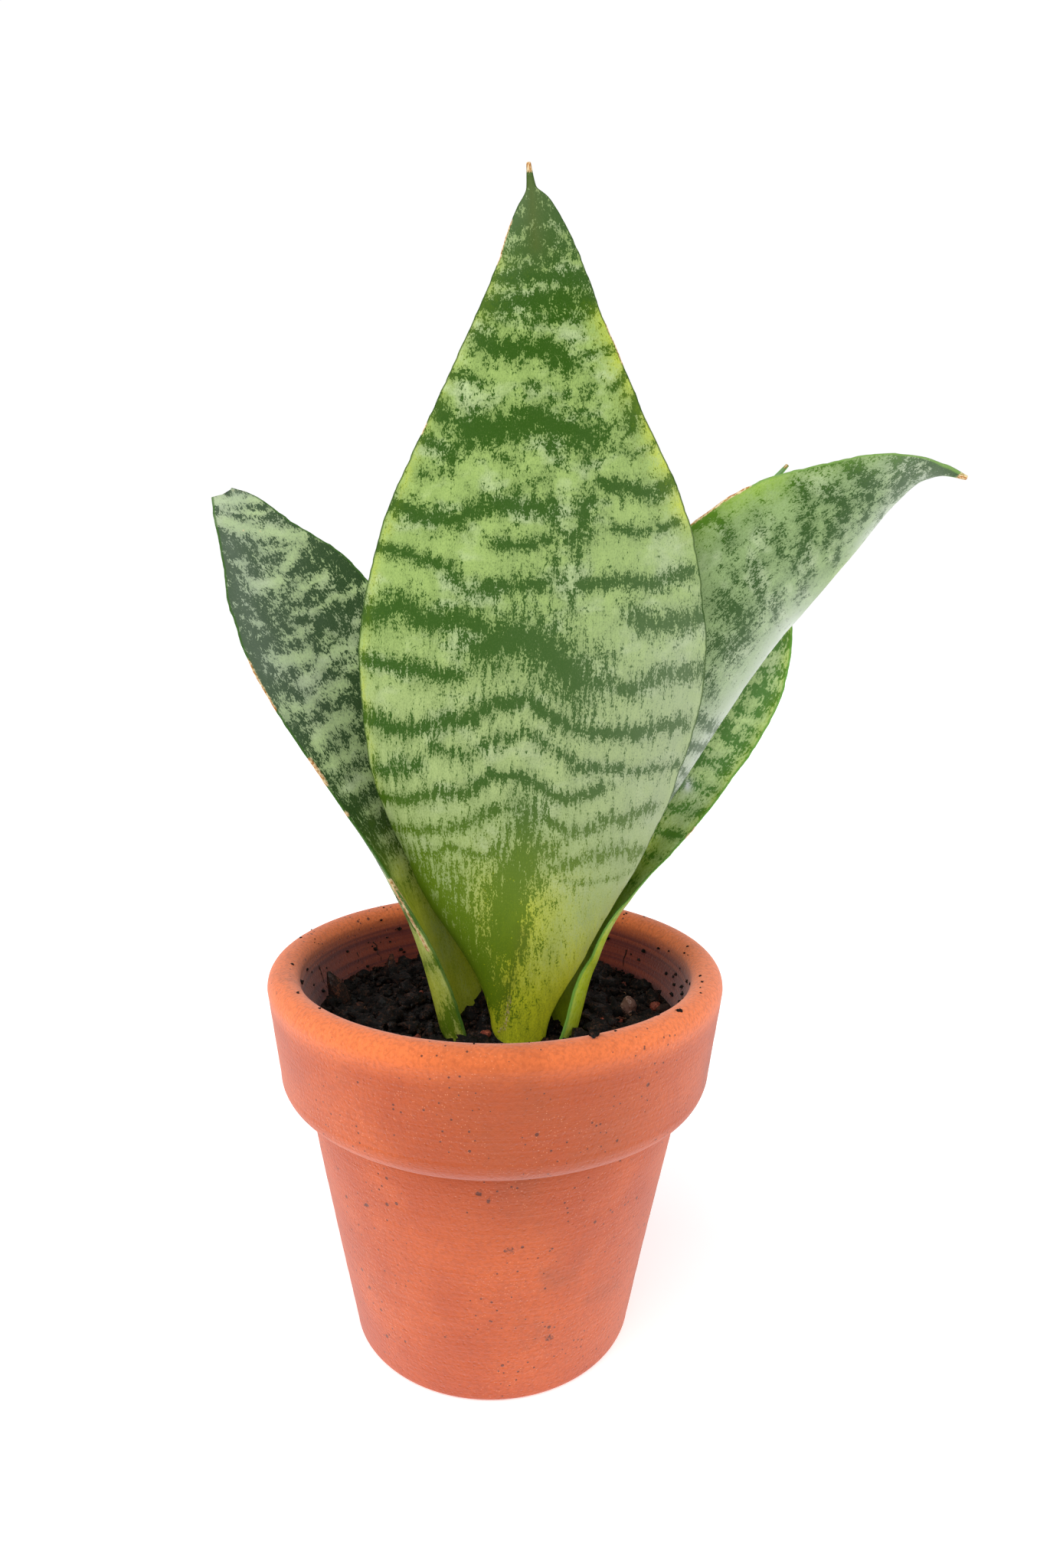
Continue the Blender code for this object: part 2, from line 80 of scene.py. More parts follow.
# %% Camera
camera_data = bpy.data.cameras.new("plant_camera")
camera_data.lens = 21.76
camera_data.sensor_width = 36.0
camera_data.shift_y = -0.0718
camera_data.clip_start = 0.005
camera = bpy.data.objects.new("plant_camera", camera_data)
bpy.context.scene.collection.objects.link(camera)
CAMERA_PLACE = AXIS + Vector((5.4, -210.5, 153.45)) * MM
LOOK_DOWN = 0.048
TIP = 0.014
camera.matrix_world = (Matrix.Translation(CAMERA_PLACE) @ Matrix.Rotation(math.pi / 2 - LOOK_DOWN, 4, "X")
                       @ Matrix.Rotation(TIP, 4, "Z"))
bpy.context.scene.camera = camera
print("camera at", [round(value, 4) for value in CAMERA_PLACE])

# %% [markdown]
# ## Studio
#
# The plant stands on a lit white table, with a wide soft lamp at each side and a weaker one in
# front. The sides of the pot are therefore brighter than its middle. Suns with a very wide angle
# stand for the lamps, because they light the whole table evenly. The room behind is plain white to
# the eye, but gives the plant only a weak light, which keeps the shadows in the pot's mouth deep.
# The table top is a large disc, and it is stage, not part of the plant.

# %% Studio
scene = bpy.context.scene
scene.view_settings.view_transform = "Standard"
world = bpy.data.worlds.new("white_room")
scene.world = world
world.use_nodes = True
sky = world.node_tree
sky.nodes["Background"].inputs["Strength"].default_value = 0.35
seen = sky.nodes.new("ShaderNodeBackground")
seen.inputs["Strength"].default_value = 1.02
for background in (seen, sky.nodes["Background"]):
    background.inputs["Color"].default_value = (1.0, 1.0, 1.0, 1)
choose = sky.nodes.new("ShaderNodeMixShader")
sky.links.new(sky.nodes.new("ShaderNodeLightPath").outputs["Is Camera Ray"], choose.inputs[0])
sky.links.new(sky.nodes["Background"].outputs[0], choose.inputs[1])
sky.links.new(seen.outputs[0], choose.inputs[2])
sky.links.new(choose.outputs[0], sky.nodes["World Output"].inputs["Surface"])


def soft_sun(name, come_from, strength, spread, colour=(1, 1, 1)):
    """A lamp that lights everything evenly from one side. The spread is in degrees."""
    data = bpy.data.lights.new(name, "SUN")
    data.energy = strength
    data.angle = math.radians(spread)
    data.color = colour
    made = bpy.data.objects.new(name, data)
    scene.collection.objects.link(made)
    made.location = Vector(come_from)
    made.rotation_euler = (-Vector(come_from)).to_track_quat("-Z", "Y").to_euler()


soft_sun("left_lamp", (-1.0, -0.35, 0.35), 1.7, 60, (1.0, 0.99, 0.99))
soft_sun("right_lamp", (1.0, -0.25, 0.35), 1.4, 60, (0.98, 0.99, 1.0))
soft_sun("front_lamp", (-0.25, -0.8, 1.1), 1.25, 50)

floor_mesh = bpy.data.meshes.new("table_top")
bm = bmesh.new()
bmesh.ops.create_circle(bm, cap_ends=True, segments=96, radius=6.0)
bm.to_mesh(floor_mesh)
bm.free()
table_top = bpy.data.objects.new("table_top", floor_mesh)
scene.collection.objects.link(table_top)

# %% [markdown]
# ## A short way to write a finish
#
# A finish is a tree of nodes. This bench adds one node at a time, plugs in what it is given, and
# hands back the output, so that a finish reads like a recipe.


# %% Finish bench
class Bench:
    """Adds nodes to one tree. Each method gives back the socket to use next."""

    def __init__(self, tree):
        self.tree = tree

    def add(self, kind, inputs=(), **settings):
        made = self.tree.nodes.new(kind)
        for name, value in settings.items():
            setattr(made, name, value)
        for name, value in dict(inputs).items():
            if isinstance(value, bpy.types.NodeSocket):
                self.tree.links.new(value, made.inputs[name])
            else:
                made.inputs[name].default_value = value
        return made

    def sums(self, operation, first, second=0.0, clamp=False):
        node = self.add("ShaderNodeMath", {0: first, 1: second}, operation=operation, use_clamp=clamp)
        return node.outputs[0]

    def between(self, value, low, high, start=0.0, end=1.0):
        """A value turned smoothly from start to end as it goes from low to high."""
        limits = {"From Min": low, "From Max": high, "To Min": start, "To Max": end}
        node = self.add("ShaderNodeMapRange", {"Value": value, **limits}, interpolation_type="SMOOTHSTEP")
        return node.outputs[0]

    def mix(self, amount, first, second):
        node = self.add("ShaderNodeMix", {0: amount, 6: first, 7: second}, data_type="RGBA")
        return node.outputs[2]

    def gap(self, vector, place):
        """How far each point is from a place."""
        node = self.add("ShaderNodeVectorMath", {0: vector, 1: place}, operation="DISTANCE")
        return node.outputs["Value"]

    def stretch(self, vector, scale):
        return self.add("ShaderNodeMapping", {"Vector": vector, "Scale": scale}).outputs[0]

    def clouds(self, vector, scale, detail=2.0, roughness=0.5):
        return self.add("ShaderNodeTexNoise", {"Vector": vector, "Scale": scale, "Detail": detail,
                                               "Roughness": roughness}).outputs["Fac"]

    def cells(self, vector, scale, randomness=1.0):
        return self.add("ShaderNodeTexVoronoi", {"Vector": vector, "Scale": scale,
                                                 "Randomness": randomness}).outputs["Distance"]

    def painted(self, name):
        return self.add("ShaderNodeAttribute", attribute_name=name).outputs["Fac"]

    def place(self):
        return self.add("ShaderNodeTexCoord").outputs["Object"]

    def bump(self, height, distance, strength=1.0):
        node = self.add("ShaderNodeBump", {"Height": height, "Distance": distance, "Strength": strength})
        return node.outputs[0]


def linear(red, green, blue):
    """A colour given as the eye sees it, from 0 to 255, as the light values that nodes use."""
    share = [value / 255 for value in (red, green, blue)]
    return (*[s / 12.92 if s <= 0.04045 else ((s + 0.055) / 1.055) ** 2.4 for s in share], 1.0)


def new_finish(name, **constants):
    """A material with its shader. Constants are set on the shader's own sockets."""
    made = bpy.data.materials.new(name)
    made.use_nodes = True
    shader = made.node_tree.nodes["Principled BSDF"]
    for socket, value in constants.items():
        shader.inputs[socket.replace("_", " ")].default_value = value
    return made, Bench(made.node_tree), shader


def plug(bench, shader, **sockets):
    """Plugs outputs into the shader's sockets, with an underscore for each space in a name."""
    for name, output in sockets.items():
        bench.tree.links.new(output, shader.inputs[name.replace("_", " ")])


print("the bench is ready")

# %% [markdown]
# Fine specks show on nearly everything here: salt in the clay, pale dots on the leaves, grit in
# the soil. They are one effect, so they are one node group. Each finish gives it its own size and
# share. A Voronoi pattern gives the dots, and a slow noise thins them out in places.


# %% Specks
def group(name, inputs, outputs):
    """An empty node group with named sockets, its bench and its input and output nodes."""
    tree = bpy.data.node_groups.new(name, "ShaderNodeTree")
    for label, kind, value in inputs:
        socket = tree.interface.new_socket(label, in_out="INPUT", socket_type="NodeSocket" + kind)
        if value is not None:
            socket.default_value = value
    for label, kind in outputs:
        tree.interface.new_socket(label, in_out="OUTPUT", socket_type="NodeSocket" + kind)
    bench = Bench(tree)
    return tree, bench, bench.add("NodeGroupInput").outputs, bench.add("NodeGroupOutput").inputs


speck_tree, b, given, out = group(
    "fine_specks", [("Vector", "Vector", None), ("Per Metre", "Float", 400.0), ("Share", "Float", 0.2)],
    [("Specks", "Float")])
thinning = b.clouds(given["Vector"], 60.0, 1.0)
dots = b.cells(given["Vector"], given["Per Metre"])
reach = b.sums("MULTIPLY", given["Share"], b.between(thinning, 0.35, 0.65, 0.3, 1.0))
b.tree.links.new(b.sums("LESS_THAN", dots, reach), out["Specks"])


def specks(bench, vector, per_metre, share):
    """A mask of dots: how many cells there are in a metre, and how much of a cell a dot fills."""
    values = {"Vector": vector, "Per Metre": per_metre, "Share": share}
    return bench.add("ShaderNodeGroup", values, node_tree=speck_tree).outputs["Specks"]


print("groups:", [tree.name for tree in bpy.data.node_groups])

# %% [markdown]
# ## White table
#
# The table top is a clean pale sheet that glows a little by itself. A faint mottling keeps it from
# being one flat colour.

# %% Table finish
table_finish, b, shader = new_finish("white_table", Roughness=0.6)
tone = b.between(b.clouds(b.place(), 3.0, 2.0), 0.3, 0.7)
white = b.mix(tone, (0.90, 0.90, 0.91, 1), (0.93, 0.93, 0.935, 1))
plug(b, shader, Base_Color=white, Emission_Color=white)
shader.inputs["Emission Strength"].default_value = 0.5
table_top.data.materials.append(table_finish)
print("table finished")

# %% [markdown]
# ## Pieces from a bmesh
#
# Every new piece ends the same way: its faces are turned outward and shaded smooth, and then it
# rides on the plant's one body and hides the imported solids it stands for. The mesh holds its place
# in the world, so the object itself stays at the origin.


# %% Piece helper
def piece_from(bm, name, finish, stands_for=(), sharp=None):
    """Turns a bmesh into a finished piece on the plant's body. Sharp is an angle in degrees."""
    bmesh.ops.recalc_face_normals(bm, faces=bm.faces)
    if bm.calc_volume(signed=True) < 0:
        bmesh.ops.reverse_faces(bm, faces=bm.faces)
    mesh = bpy.data.meshes.new(name)
    bm.to_mesh(mesh)
    bm.free()
    mesh.shade_smooth()
    if sharp:
        mesh.set_sharp_from_angle(angle=math.radians(sharp))
    mesh.materials.append(finish)
    made = bpy.data.objects.new(name, mesh)
    scene.collection.objects.link(made)
    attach(made, "root")
    if stands_for:
        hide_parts(*stands_for)
    print(f"{name}: {len(mesh.polygons)} faces")
    return made


# %% [markdown]
# ## Terracotta
#
# Unglazed clay is orange and chalky. The lip is painted brighter, as a painted highlight where its top
# faces the lamps. The walls carry pores, pale salt specks, dark grit, a few faint stains and some crumbs
# of dirt, and the front of the band is painted a little darker as painted shade. The inside is painted
# much darker, as painted shade down the wall of the mouth and because the wet clay there is darker too,
# and fine rings from the wheel run round it. The clay scatters light at its edges like dust does, which
# the shader's sheen gives.

# %% Terracotta finish
MOUTH_RADIUS = 43.2 * MM
LIP_ROUND = 3.4 * MM
FLOOR_TOP = 7.0 * MM
FLOOR_RADIUS = 25.0 * MM
# How fast the inner wall widens with height, and its radius where height is 0.
WALL_SLOPE = (MOUTH_RADIUS - FLOOR_RADIUS) / (POT_HEIGHT - LIP_ROUND - FLOOR_TOP)
WALL_START = FLOOR_RADIUS - FLOOR_TOP * WALL_SLOPE
# Crumbs of dirt that stuck to the outside, in millimetres from the axis.
SOIL_MARKS = ((0, -41, 47.4), (-1.5, -40.8, 48.6), (-11.6, -48.6, 65.4), (-12.4, -48.4, 62.5),
              (-8.2, -31.6, 15), (12, -31, 14), (4, -38, 36), (14, -40, 44), (22, -44, 60), (-24, -30, 40))
# The spot where the front of the band is painted darker: painted shade, since the lamps stand at the sides.
FRONT_SHADE_SPOT = (8 * MM, -RIM_RADIUS, POT_HEIGHT - 18 * MM)  # the front of the band is a little darker
terracotta, b, shader = new_finish("terracotta_clay", Roughness=0.82, Sheen_Weight=0.34, Sheen_Roughness=0.6,
                                   Sheen_Tint=(1.0, 0.84, 0.86, 1), Specular_IOR_Level=0.15)
centred = b.add("ShaderNodeMapping", {"Vector": b.place(), "Location": tuple(-AXIS)}).outputs[0]
split = b.add("ShaderNodeSeparateXYZ", {"Vector": centred})
height = split.outputs["Z"]
mottle = b.clouds(centred, 45.0, 4.0, 0.6)
grain = b.clouds(centred, 1400.0, 2.0, 0.6)
ring_noise = b.clouds(b.stretch(centred, (6, 6, 1200)), 1.0, 3.0, 0.6)
clay = b.mix(b.between(mottle, 0.3, 0.7), linear(174, 70, 12), linear(196, 88, 26))

# Two masks: the mouth's inner wall, and the lip.
away = b.sums("MULTIPLY", split.outputs["X"], split.outputs["X"])
away = b.sums("SQRT", b.sums("ADD", away, b.sums("MULTIPLY", split.outputs["Y"], split.outputs["Y"])))
hollow = b.sums("ADD", b.sums("MULTIPLY", height, WALL_SLOPE), WALL_START + 1.8 * MM)
inside = b.sums("MULTIPLY", b.between(b.sums("SUBTRACT", away, hollow), 0.0, -1.2 * MM),
                b.between(height, POT_HEIGHT - 1 * MM, POT_HEIGHT - 6 * MM))
lip = b.between(height, POT_HEIGHT - 8 * MM, POT_HEIGHT - 0.5 * MM)

# The lip's painted highlight, then grain, stains and the painted shade at the front of the band, and then
# what is sprinkled on the clay.
clay = b.mix(b.sums("MULTIPLY", lip, 0.85), clay, linear(250, 130, 66))
clay = b.mix(b.between(grain, 0.35, 0.75, 0.0, 0.38), clay, linear(146, 60, 20))
stain = b.between(b.clouds(b.stretch(centred, (1, 1, 0.8)), 38.0, 5.0, 0.65), 0.56, 0.74)
clay = b.mix(b.sums("MULTIPLY", stain, 0.42), clay, linear(118, 66, 44))
# Painted shade on the front of the band, made patchy by the mottle.
front_shade = b.between(b.gap(centred, FRONT_SHADE_SPOT), 36 * MM, 8 * MM)
front_shade = b.sums("MULTIPLY", front_shade, b.between(mottle, 0.35, 0.65, 0.3, 0.75))
clay = b.mix(front_shade, clay, linear(150, 66, 24))
salt = specks(b, centred, 1500.0, 0.17)
clay = b.mix(b.sums("MULTIPLY", salt, 0.25), clay, linear(244, 182, 140))
grit_dots = b.sums("MAXIMUM", specks(b, centred, 230.0, 0.10), specks(b, centred, 560.0, 0.13))
clay = b.mix(b.sums("MULTIPLY", grit_dots, 0.8), clay, linear(70, 32, 18))
uneven = b.sums("MULTIPLY", b.sums("SUBTRACT", grain, 0.5), 3 * MM)
for mark in SOIL_MARKS:
    gap = b.sums("ADD", b.gap(centred, [value * MM for value in mark]), uneven)
    clay = b.mix(b.between(gap, 0.9 * MM, 0.3 * MM, 0.0, 0.85), clay, linear(62, 28, 16))

# Painted shade inside the mouth, where the clay is wet as well, ringed by the wheel.
clay = b.mix(b.sums("MULTIPLY", inside, b.between(ring_noise, 0.35, 0.65, 1.0, 0.7)), clay, linear(88, 14, 0))
plug(b, shader, Base_Color=clay)

# Relief: grain and rings stand out, and pores and grit are holes.
pores = b.between(b.cells(centred, 900.0), 0.0, 0.35)
rough = b.sums("ADD", b.sums("MULTIPLY", grain, 0.6), b.sums("MULTIPLY", ring_noise, 0.5))
relief = b.sums("ADD", rough, b.sums("MULTIPLY", pores, 0.35))
relief = b.sums("SUBTRACT", relief, b.sums("MULTIPLY", grit_dots, 0.5))
plug(b, shader, Normal=b.bump(relief, 0.0003, 0.8))
print("terracotta finish made")

# %% [markdown]
# ## Pot
#
# A pot like this is turned, so it is spun here from one outline: a rounded lip, a thick band that
# runs in a little to its foot, a small step, and a body that tapers to the base with a hole for
# the water. Spinning a chain of points keeps every ring true. Afterwards the rings are pushed in
# and out by a hair, because no thrown pot is perfectly round, and shallow throwing rings are left
# in the mouth.

# %% Pot outline
BAND_FOOT = POT_HEIGHT - 26.4 * MM
BODY_TOP_RADIUS = 41.2 * MM
STEP_ROUND = 1.5 * MM
BAND_ROUND = 5.0 * MM
BAND_FOOT_RADIUS = 47.2 * MM
BASE_RADIUS = 30.6 * MM
BASE_ROUND = 1.5 * MM
FLOOR_ROUND = 4.0 * MM
DRAIN_RADIUS = 6.0 * MM
DRAIN_BEVEL = 0.8 * MM


def wall_radius(z):
    """The radius of the inner wall at a height."""
    share = (z - FLOOR_TOP) / (POT_HEIGHT - LIP_ROUND - FLOOR_TOP)
    return FLOOR_RADIUS + share * (MOUTH_RADIUS - FLOOR_RADIUS)


def arc(centre, radius, start, end, steps):
    """Points (radius, height) along an arc between two angles in degrees."""
    angles = np.radians(np.linspace(start, end, steps + 1))
    return [(centre[0] + radius * math.cos(a), centre[1] + radius * math.sin(a)) for a in angles]


def filled(outline, spacing):
    """The outline with points added so that none are further apart than the spacing."""
    dense = []
    for (r0, z0), (r1, z1) in zip(outline, outline[1:] + outline[:1]):
        count = max(1, math.ceil(math.hypot(r1 - r0, z1 - z0) / spacing))
        dense += [(r0 + (r1 - r0) * i / count, z0 + (z1 - z0) * i / count) for i in range(count)]
    return dense


outline = [(DRAIN_RADIUS + DRAIN_BEVEL, 0.0)]
outline += arc((BASE_RADIUS - BASE_ROUND, BASE_ROUND), BASE_ROUND, -90, 0, 6)
outline += arc((BODY_TOP_RADIUS + STEP_ROUND, BAND_FOOT - STEP_ROUND), STEP_ROUND, 180, 90, 6)
outline += arc((BAND_FOOT_RADIUS - BAND_ROUND, BAND_FOOT + BAND_ROUND), BAND_ROUND, -60, 0, 10)
outline += arc((RIM_RADIUS - LIP_ROUND, POT_HEIGHT - LIP_ROUND), LIP_ROUND, 0, 90, 10)
outline += arc((MOUTH_RADIUS + LIP_ROUND, POT_HEIGHT - LIP_ROUND), LIP_ROUND, 90, 180, 10)[1:]
floor_bend = FLOOR_TOP + FLOOR_ROUND
outline += arc((wall_radius(floor_bend) - FLOOR_ROUND, floor_bend), FLOOR_ROUND, 0, -90, 5)
outline += [(DRAIN_RADIUS, FLOOR_TOP), (DRAIN_RADIUS, DRAIN_BEVEL)]
outline = filled(outline, 0.7 * MM)
print("outline points:", len(outline))


# %% Pot
def spun(outline, steps, closed=True):
    """A bmesh turned round Z from an outline of (radius, height)."""
    bm = bmesh.new()
    verts = [bm.verts.new((radius, 0, z)) for radius, z in outline]
    ends = verts[1:] + verts[:1] if closed else verts[1:]
    edges = [bm.edges.new(pair) for pair in zip(verts, ends)]
    bmesh.ops.spin(bm, geom=verts + edges, axis=(0, 0, 1), cent=(0, 0, 0), angle=math.tau,
                   steps=steps, use_merge=True)
    bmesh.ops.remove_doubles(bm, verts=bm.verts, dist=MM / 100)
    return bm


def hand_made(x, y, z):
    """How far the clay stands out at a point: slow wobble, fine grain and the mouth's throwing rings."""
    place = Vector((x, y, z))
    wobble = 0.18 * MM * noise.noise(place * 28)
    fine = 0.05 * MM * noise.noise(Vector((x * 120, y * 120, z * 400)))
    near_wall = math.hypot(x, y) < wall_radius(z) + 1.5 * MM
    if not (near_wall and FLOOR_TOP + 5 * MM < z < POT_HEIGHT - 2 * MM):
        return wobble + fine
    return wobble + fine + 0.10 * MM * math.sin(z / MM * 5.2 + 2 * noise.noise(place * 30))


bm = spun(outline, 256)
for vert in bm.verts:
    x, y, z = vert.co
    if z > 1.0 * MM:  # the foot stays flat
        vert.co += Vector((x, y, 0)).normalized() * hand_made(x, y, z)
        vert.co.z += 0.12 * MM * noise.noise(Vector((x, y, 7)) * 35) * (z / POT_HEIGHT)
bmesh.ops.translate(bm, verts=bm.verts, vec=AXIS)
piece_from(bm, "terracotta_pot", terracotta, ["pot"])

# %% [markdown]
# ## Leaf shape
#
# Each leaf is a long ellipse of a section, bent round an arc: a deep channel at the foot, nearly
# flat in the blade. A row of stations gives its line, its width and its bend, and a cubic that
# never overshoots joins them. The solid starts as a plain tube whose sides are cut into rows, and
# each row is then carried to its place on the leaf, so no faces are listed by hand.

# %% Leaf stations
# x and y from the pot's axis, height over the soil, half width, half thickness, half angle of the
# channel, and the bearing and pitch of the hollow side, in millimetres and degrees.
STATIONS = {
    "front_leaf": (
        (4.5, -10.5, -9.5, 5.5, 2.6, 60, 90, 0), (5.2, -13.0, 2.0, 7.0, 2.5, 62, 90, 0),
        (6.0, -15.5, 17.0, 16.0, 1.9, 52, 90, 0), (5.6, -17.0, 33.0, 26.0, 1.5, 42, 90, 0),
        (5.6, -19.0, 56.0, 34.0, 1.2, 30, 90, 0), (6.8, -20.5, 80.0, 37.0, 1.1, 22, 90, 0),
        (7.4, -21.0, 105.0, 33.0, 1.0, 18, 90, 0), (7.2, -21.0, 130.0, 21.6, 0.9, 16, 90, 0),
        (7.2, -20.5, 153.0, 11.2, 0.9, 16, 90, 0), (6.6, -20.0, 165.0, 6.4, 0.9, 20, 90, 0),
        (5.9, -20.0, 170.8, 3.2, 0.95, 20, 90, 0), (5.3, -20.0, 173.4, 1.0, 0.95, 5, 90, 0),
        (4.7, -20.0, 178.0, 0.45, 0.45, 0, 90, 0)),
    "left_leaf": (
        (-8.0, -5.5, -9.5, 8.0, 1.5, 82, -8, 0), (-10.6, -6.0, 1.5, 10.5, 1.6, 82, -14, 0),
        (-14.6, -4.5, 17.0, 12.0, 1.4, 70, -24, 0), (-18.8, -2.5, 32.0, 13.5, 1.3, 58, -40, 0),
        (-27.6, 1.0, 54.0, 17.0, 1.1, 45, -50, 0), (-39.5, 3.0, 79.0, 18.8, 1.0, 35, -55, 0),
        (-47.6, 5.0, 93.0, 16.2, 0.9, 30, -55, 0), (-55.8, 7.0, 105.0, 10.0, 0.85, 25, -55, 0),
        (-61.4, 8.5, 113.5, 5.8, 0.8, 18, -55, 0), (-63.3, 9.0, 116.5, 4.2, 0.7, 10, -55, 0)),
    "right_leaf": (
        (3.6, -4.4, -9.5, 4.5, 1.8, 50, 92, 0), (5.6, -5.2, 9.0, 6.5, 1.7, 50, 96, 0),
        (13.5, -5.5, 29.0, 14.0, 1.5, 48, 102, 5), (27.5, -6.0, 56.5, 20.0, 1.2, 42, 106, 12),
        (43.0, -5.5, 81.5, 22.5, 1.1, 35, 110, 18), (59.0, -4.0, 99.5, 20.3, 1.0, 30, 112, 22),
        (76.5, -2.5, 112.8, 13.2, 0.95, 28, 110, 30), (86.5, -1.5, 119.3, 7.8, 0.9, 28, 110, 40),
        (93.0, -1.0, 122.3, 3.2, 0.95, 25, 110, 50), (96.0, -1.0, 122.6, 1.6, 1.0, 10, 110, 50),
        (101.5, -1.0, 121.0, 0.5, 0.5, 0, 110, 50)),
    "right_back_leaf": (
        (13.6, -3.0, -9.5, 8.0, 1.3, 80, 192, 0), (16.2, -5.0, 1.0, 9.0, 1.3, 78, 206, 0),
        (19.6, -0.5, 12.0, 10.0, 1.2, 60, 214, 0), (24.0, 6.0, 24.0, 12.5, 1.1, 50, 226, 0),
        (29.0, 11.0, 36.0, 15.0, 1.1, 42, 236, 0), (40.0, 17.0, 56.0, 17.5, 1.0, 34, 246, 0),
        (50.5, 20.5, 74.0, 18.0, 0.95, 30, 250, 0), (56.0, 22.5, 89.0, 15.0, 0.9, 25, 250, 0),
        (58.0, 23.5, 106.0, 8.5, 0.9, 20, 250, 0), (60.5, 24.0, 117.0, 3.2, 0.9, 20, 250, 0),
        (62.5, 24.0, 120.0, 1.1, 0.95, 5, 250, 0), (69.0, 24.0, 127.5, 0.45, 0.45, 0, 250, 0)),
}
print("stations:", {name: len(rows) for name, rows in STATIONS.items()})


# %% Leaf rows
def smooth_stations(knots, values, places):
    """Values at places along the knots, by a cubic that never overshoots its stations."""
    step = np.diff(knots)[:, None]
    slope = np.diff(values, axis=0) / step
    before, after = slope[:-1], slope[1:]
    same_way = before * after > 0
    mean = np.where(same_way, 2 * before * after / np.where(same_way, before + after, 1), 0)
    tangent = np.vstack([slope[:1], mean, slope[-1:]])
    index = np.clip(np.searchsorted(knots, places, side="right") - 1, 0, len(knots) - 2)
    width = step[index]
    t = ((places - knots[index])[:, None]) / width
    start, end = values[index], values[index + 1]
    return ((2 * t**3 - 3 * t**2 + 1) * start + (t**3 - 2 * t**2 + t) * width * tangent[index]
            + (3 * t**2 - 2 * t**3) * end + (t**3 - t**2) * width * tangent[index + 1])


def leaf_rows(name, spacing=0.85, fewest=8):
    """Rows along a leaf: distance along it, middle, side and hollow directions, width, thickness, bend."""
    table = np.array(STATIONS[name], float)
    knots = np.concatenate([[0], np.cumsum(np.linalg.norm(np.diff(table[:, :3], axis=0), axis=1))])
    parts = [np.linspace(a, b, max(fewest, math.ceil((b - a) / spacing)), endpoint=False)
             for a, b in zip(knots, knots[1:])]
    places = np.concatenate(parts + [knots[-1:]])
    smooth = smooth_stations(knots, table, places)
    along = np.gradient(smooth[:, :3], places, axis=0)
    along /= np.linalg.norm(along, axis=1)[:, None]
    bearing, pitch = np.radians(smooth[:, 6]), np.radians(smooth[:, 7])
    level = np.cos(pitch)
    hollow = np.stack([np.cos(bearing) * level, np.sin(bearing) * level, np.sin(pitch)], axis=1)
    hollow -= (hollow * along).sum(axis=1)[:, None] * along
    hollow /= np.linalg.norm(hollow, axis=1)[:, None]
    return {"along": places, "middle": smooth[:, :3], "side": np.cross(hollow, along), "hollow": hollow,
            "width": smooth[:, 3], "thick": smooth[:, 4], "bend": np.radians(smooth[:, 5])}


for name in STATIONS:
    rows = leaf_rows(name)
    long, wide = rows["along"][-1], 2 * rows["width"].max()
    print(f"{name}: {len(rows['along'])} rows, {long:.0f} mm long, {wide:.0f} mm wide")

# %% [markdown]
# ## Painting a leaf
#
# A snake plant's leaf is pale with dark cross-bands, and every band has a ragged edge because the
# colour runs along the leaf's fibres. Where the bands lie is the plant's own drawing, so they are
# brushed on: each stroke is a short line across the leaf, with a thickness. The strokes are stored
# on the mesh as soft values. The finish then frays them with a stretched noise, so the ragged edge
# is sharp at any size.
#
# A stroke is thickness in mm, strength, and then points as (place across from -1 to 1, mm from
# the foot). The names of the paints are: dark for the bands, young for the yellow-green new
# growth, then the paint for painted sheen, the grey-white reflection of the lamps on the waxy skin,
# dry for the dead brown edge, and groove for a crease. Pale paints a face that is dark all over.


# %% Brush
BRUSH_WIDTH = 1.3  # a stroke fades to half at its thickness times this


def brushed(x, y, width_at, strokes):
    """The strongest stroke at each point. x is in mm across the leaf and y in mm along it."""
    best = np.zeros_like(x)
    for thickness, strength, *line in strokes:
        steps = np.arange(0, len(line) / 2 - 0.99, 0.25)
        lane = np.interp(steps, np.arange(len(line) / 2), line[0::2])
        climb = np.interp(steps, np.arange(len(line) / 2), line[1::2])
        points = list(zip(lane * width_at(climb), climb))
        for (x0, y0), (x1, y1) in zip(points, points[1:] or points):
            length2 = (x1 - x0) ** 2 + (y1 - y0) ** 2 or 1.0
            t = np.clip(((x - x0) * (x1 - x0) + (y - y0) * (y1 - y0)) / length2, 0, 1)
            gap2 = (x - x0 - t * (x1 - x0)) ** 2 + (y - y0 - t * (y1 - y0)) ** 2
            best = np.maximum(best, strength * 0.5 ** (np.sqrt(gap2) / (thickness * BRUSH_WIDTH)))
    return best


def cross_bands(seed, first, last, spacing):
    """Bands for a face that is rarely looked at, set out with a seeded hand."""
    hand = random.Random(seed)
    strokes, at = [], first
    while at < last:
        lift = hand.uniform(-1, 3)
        line = []
        for across in (-0.98, -0.5, 0.0, 0.5, 0.98):
            line += [across, at + lift * (1 - abs(across)) + hand.uniform(-1.3, 1.3)]
        cut = hand.choice((0, 0, 2, 4))
        strokes.append((hand.uniform(0.9, 1.9), hand.uniform(0.75, 1.0), *line[cut:]))
        at += hand.uniform(0.75, 1.35) * spacing
    return strokes


print("a sample of bands:", len(cross_bands(1, 40, 170, 6)))

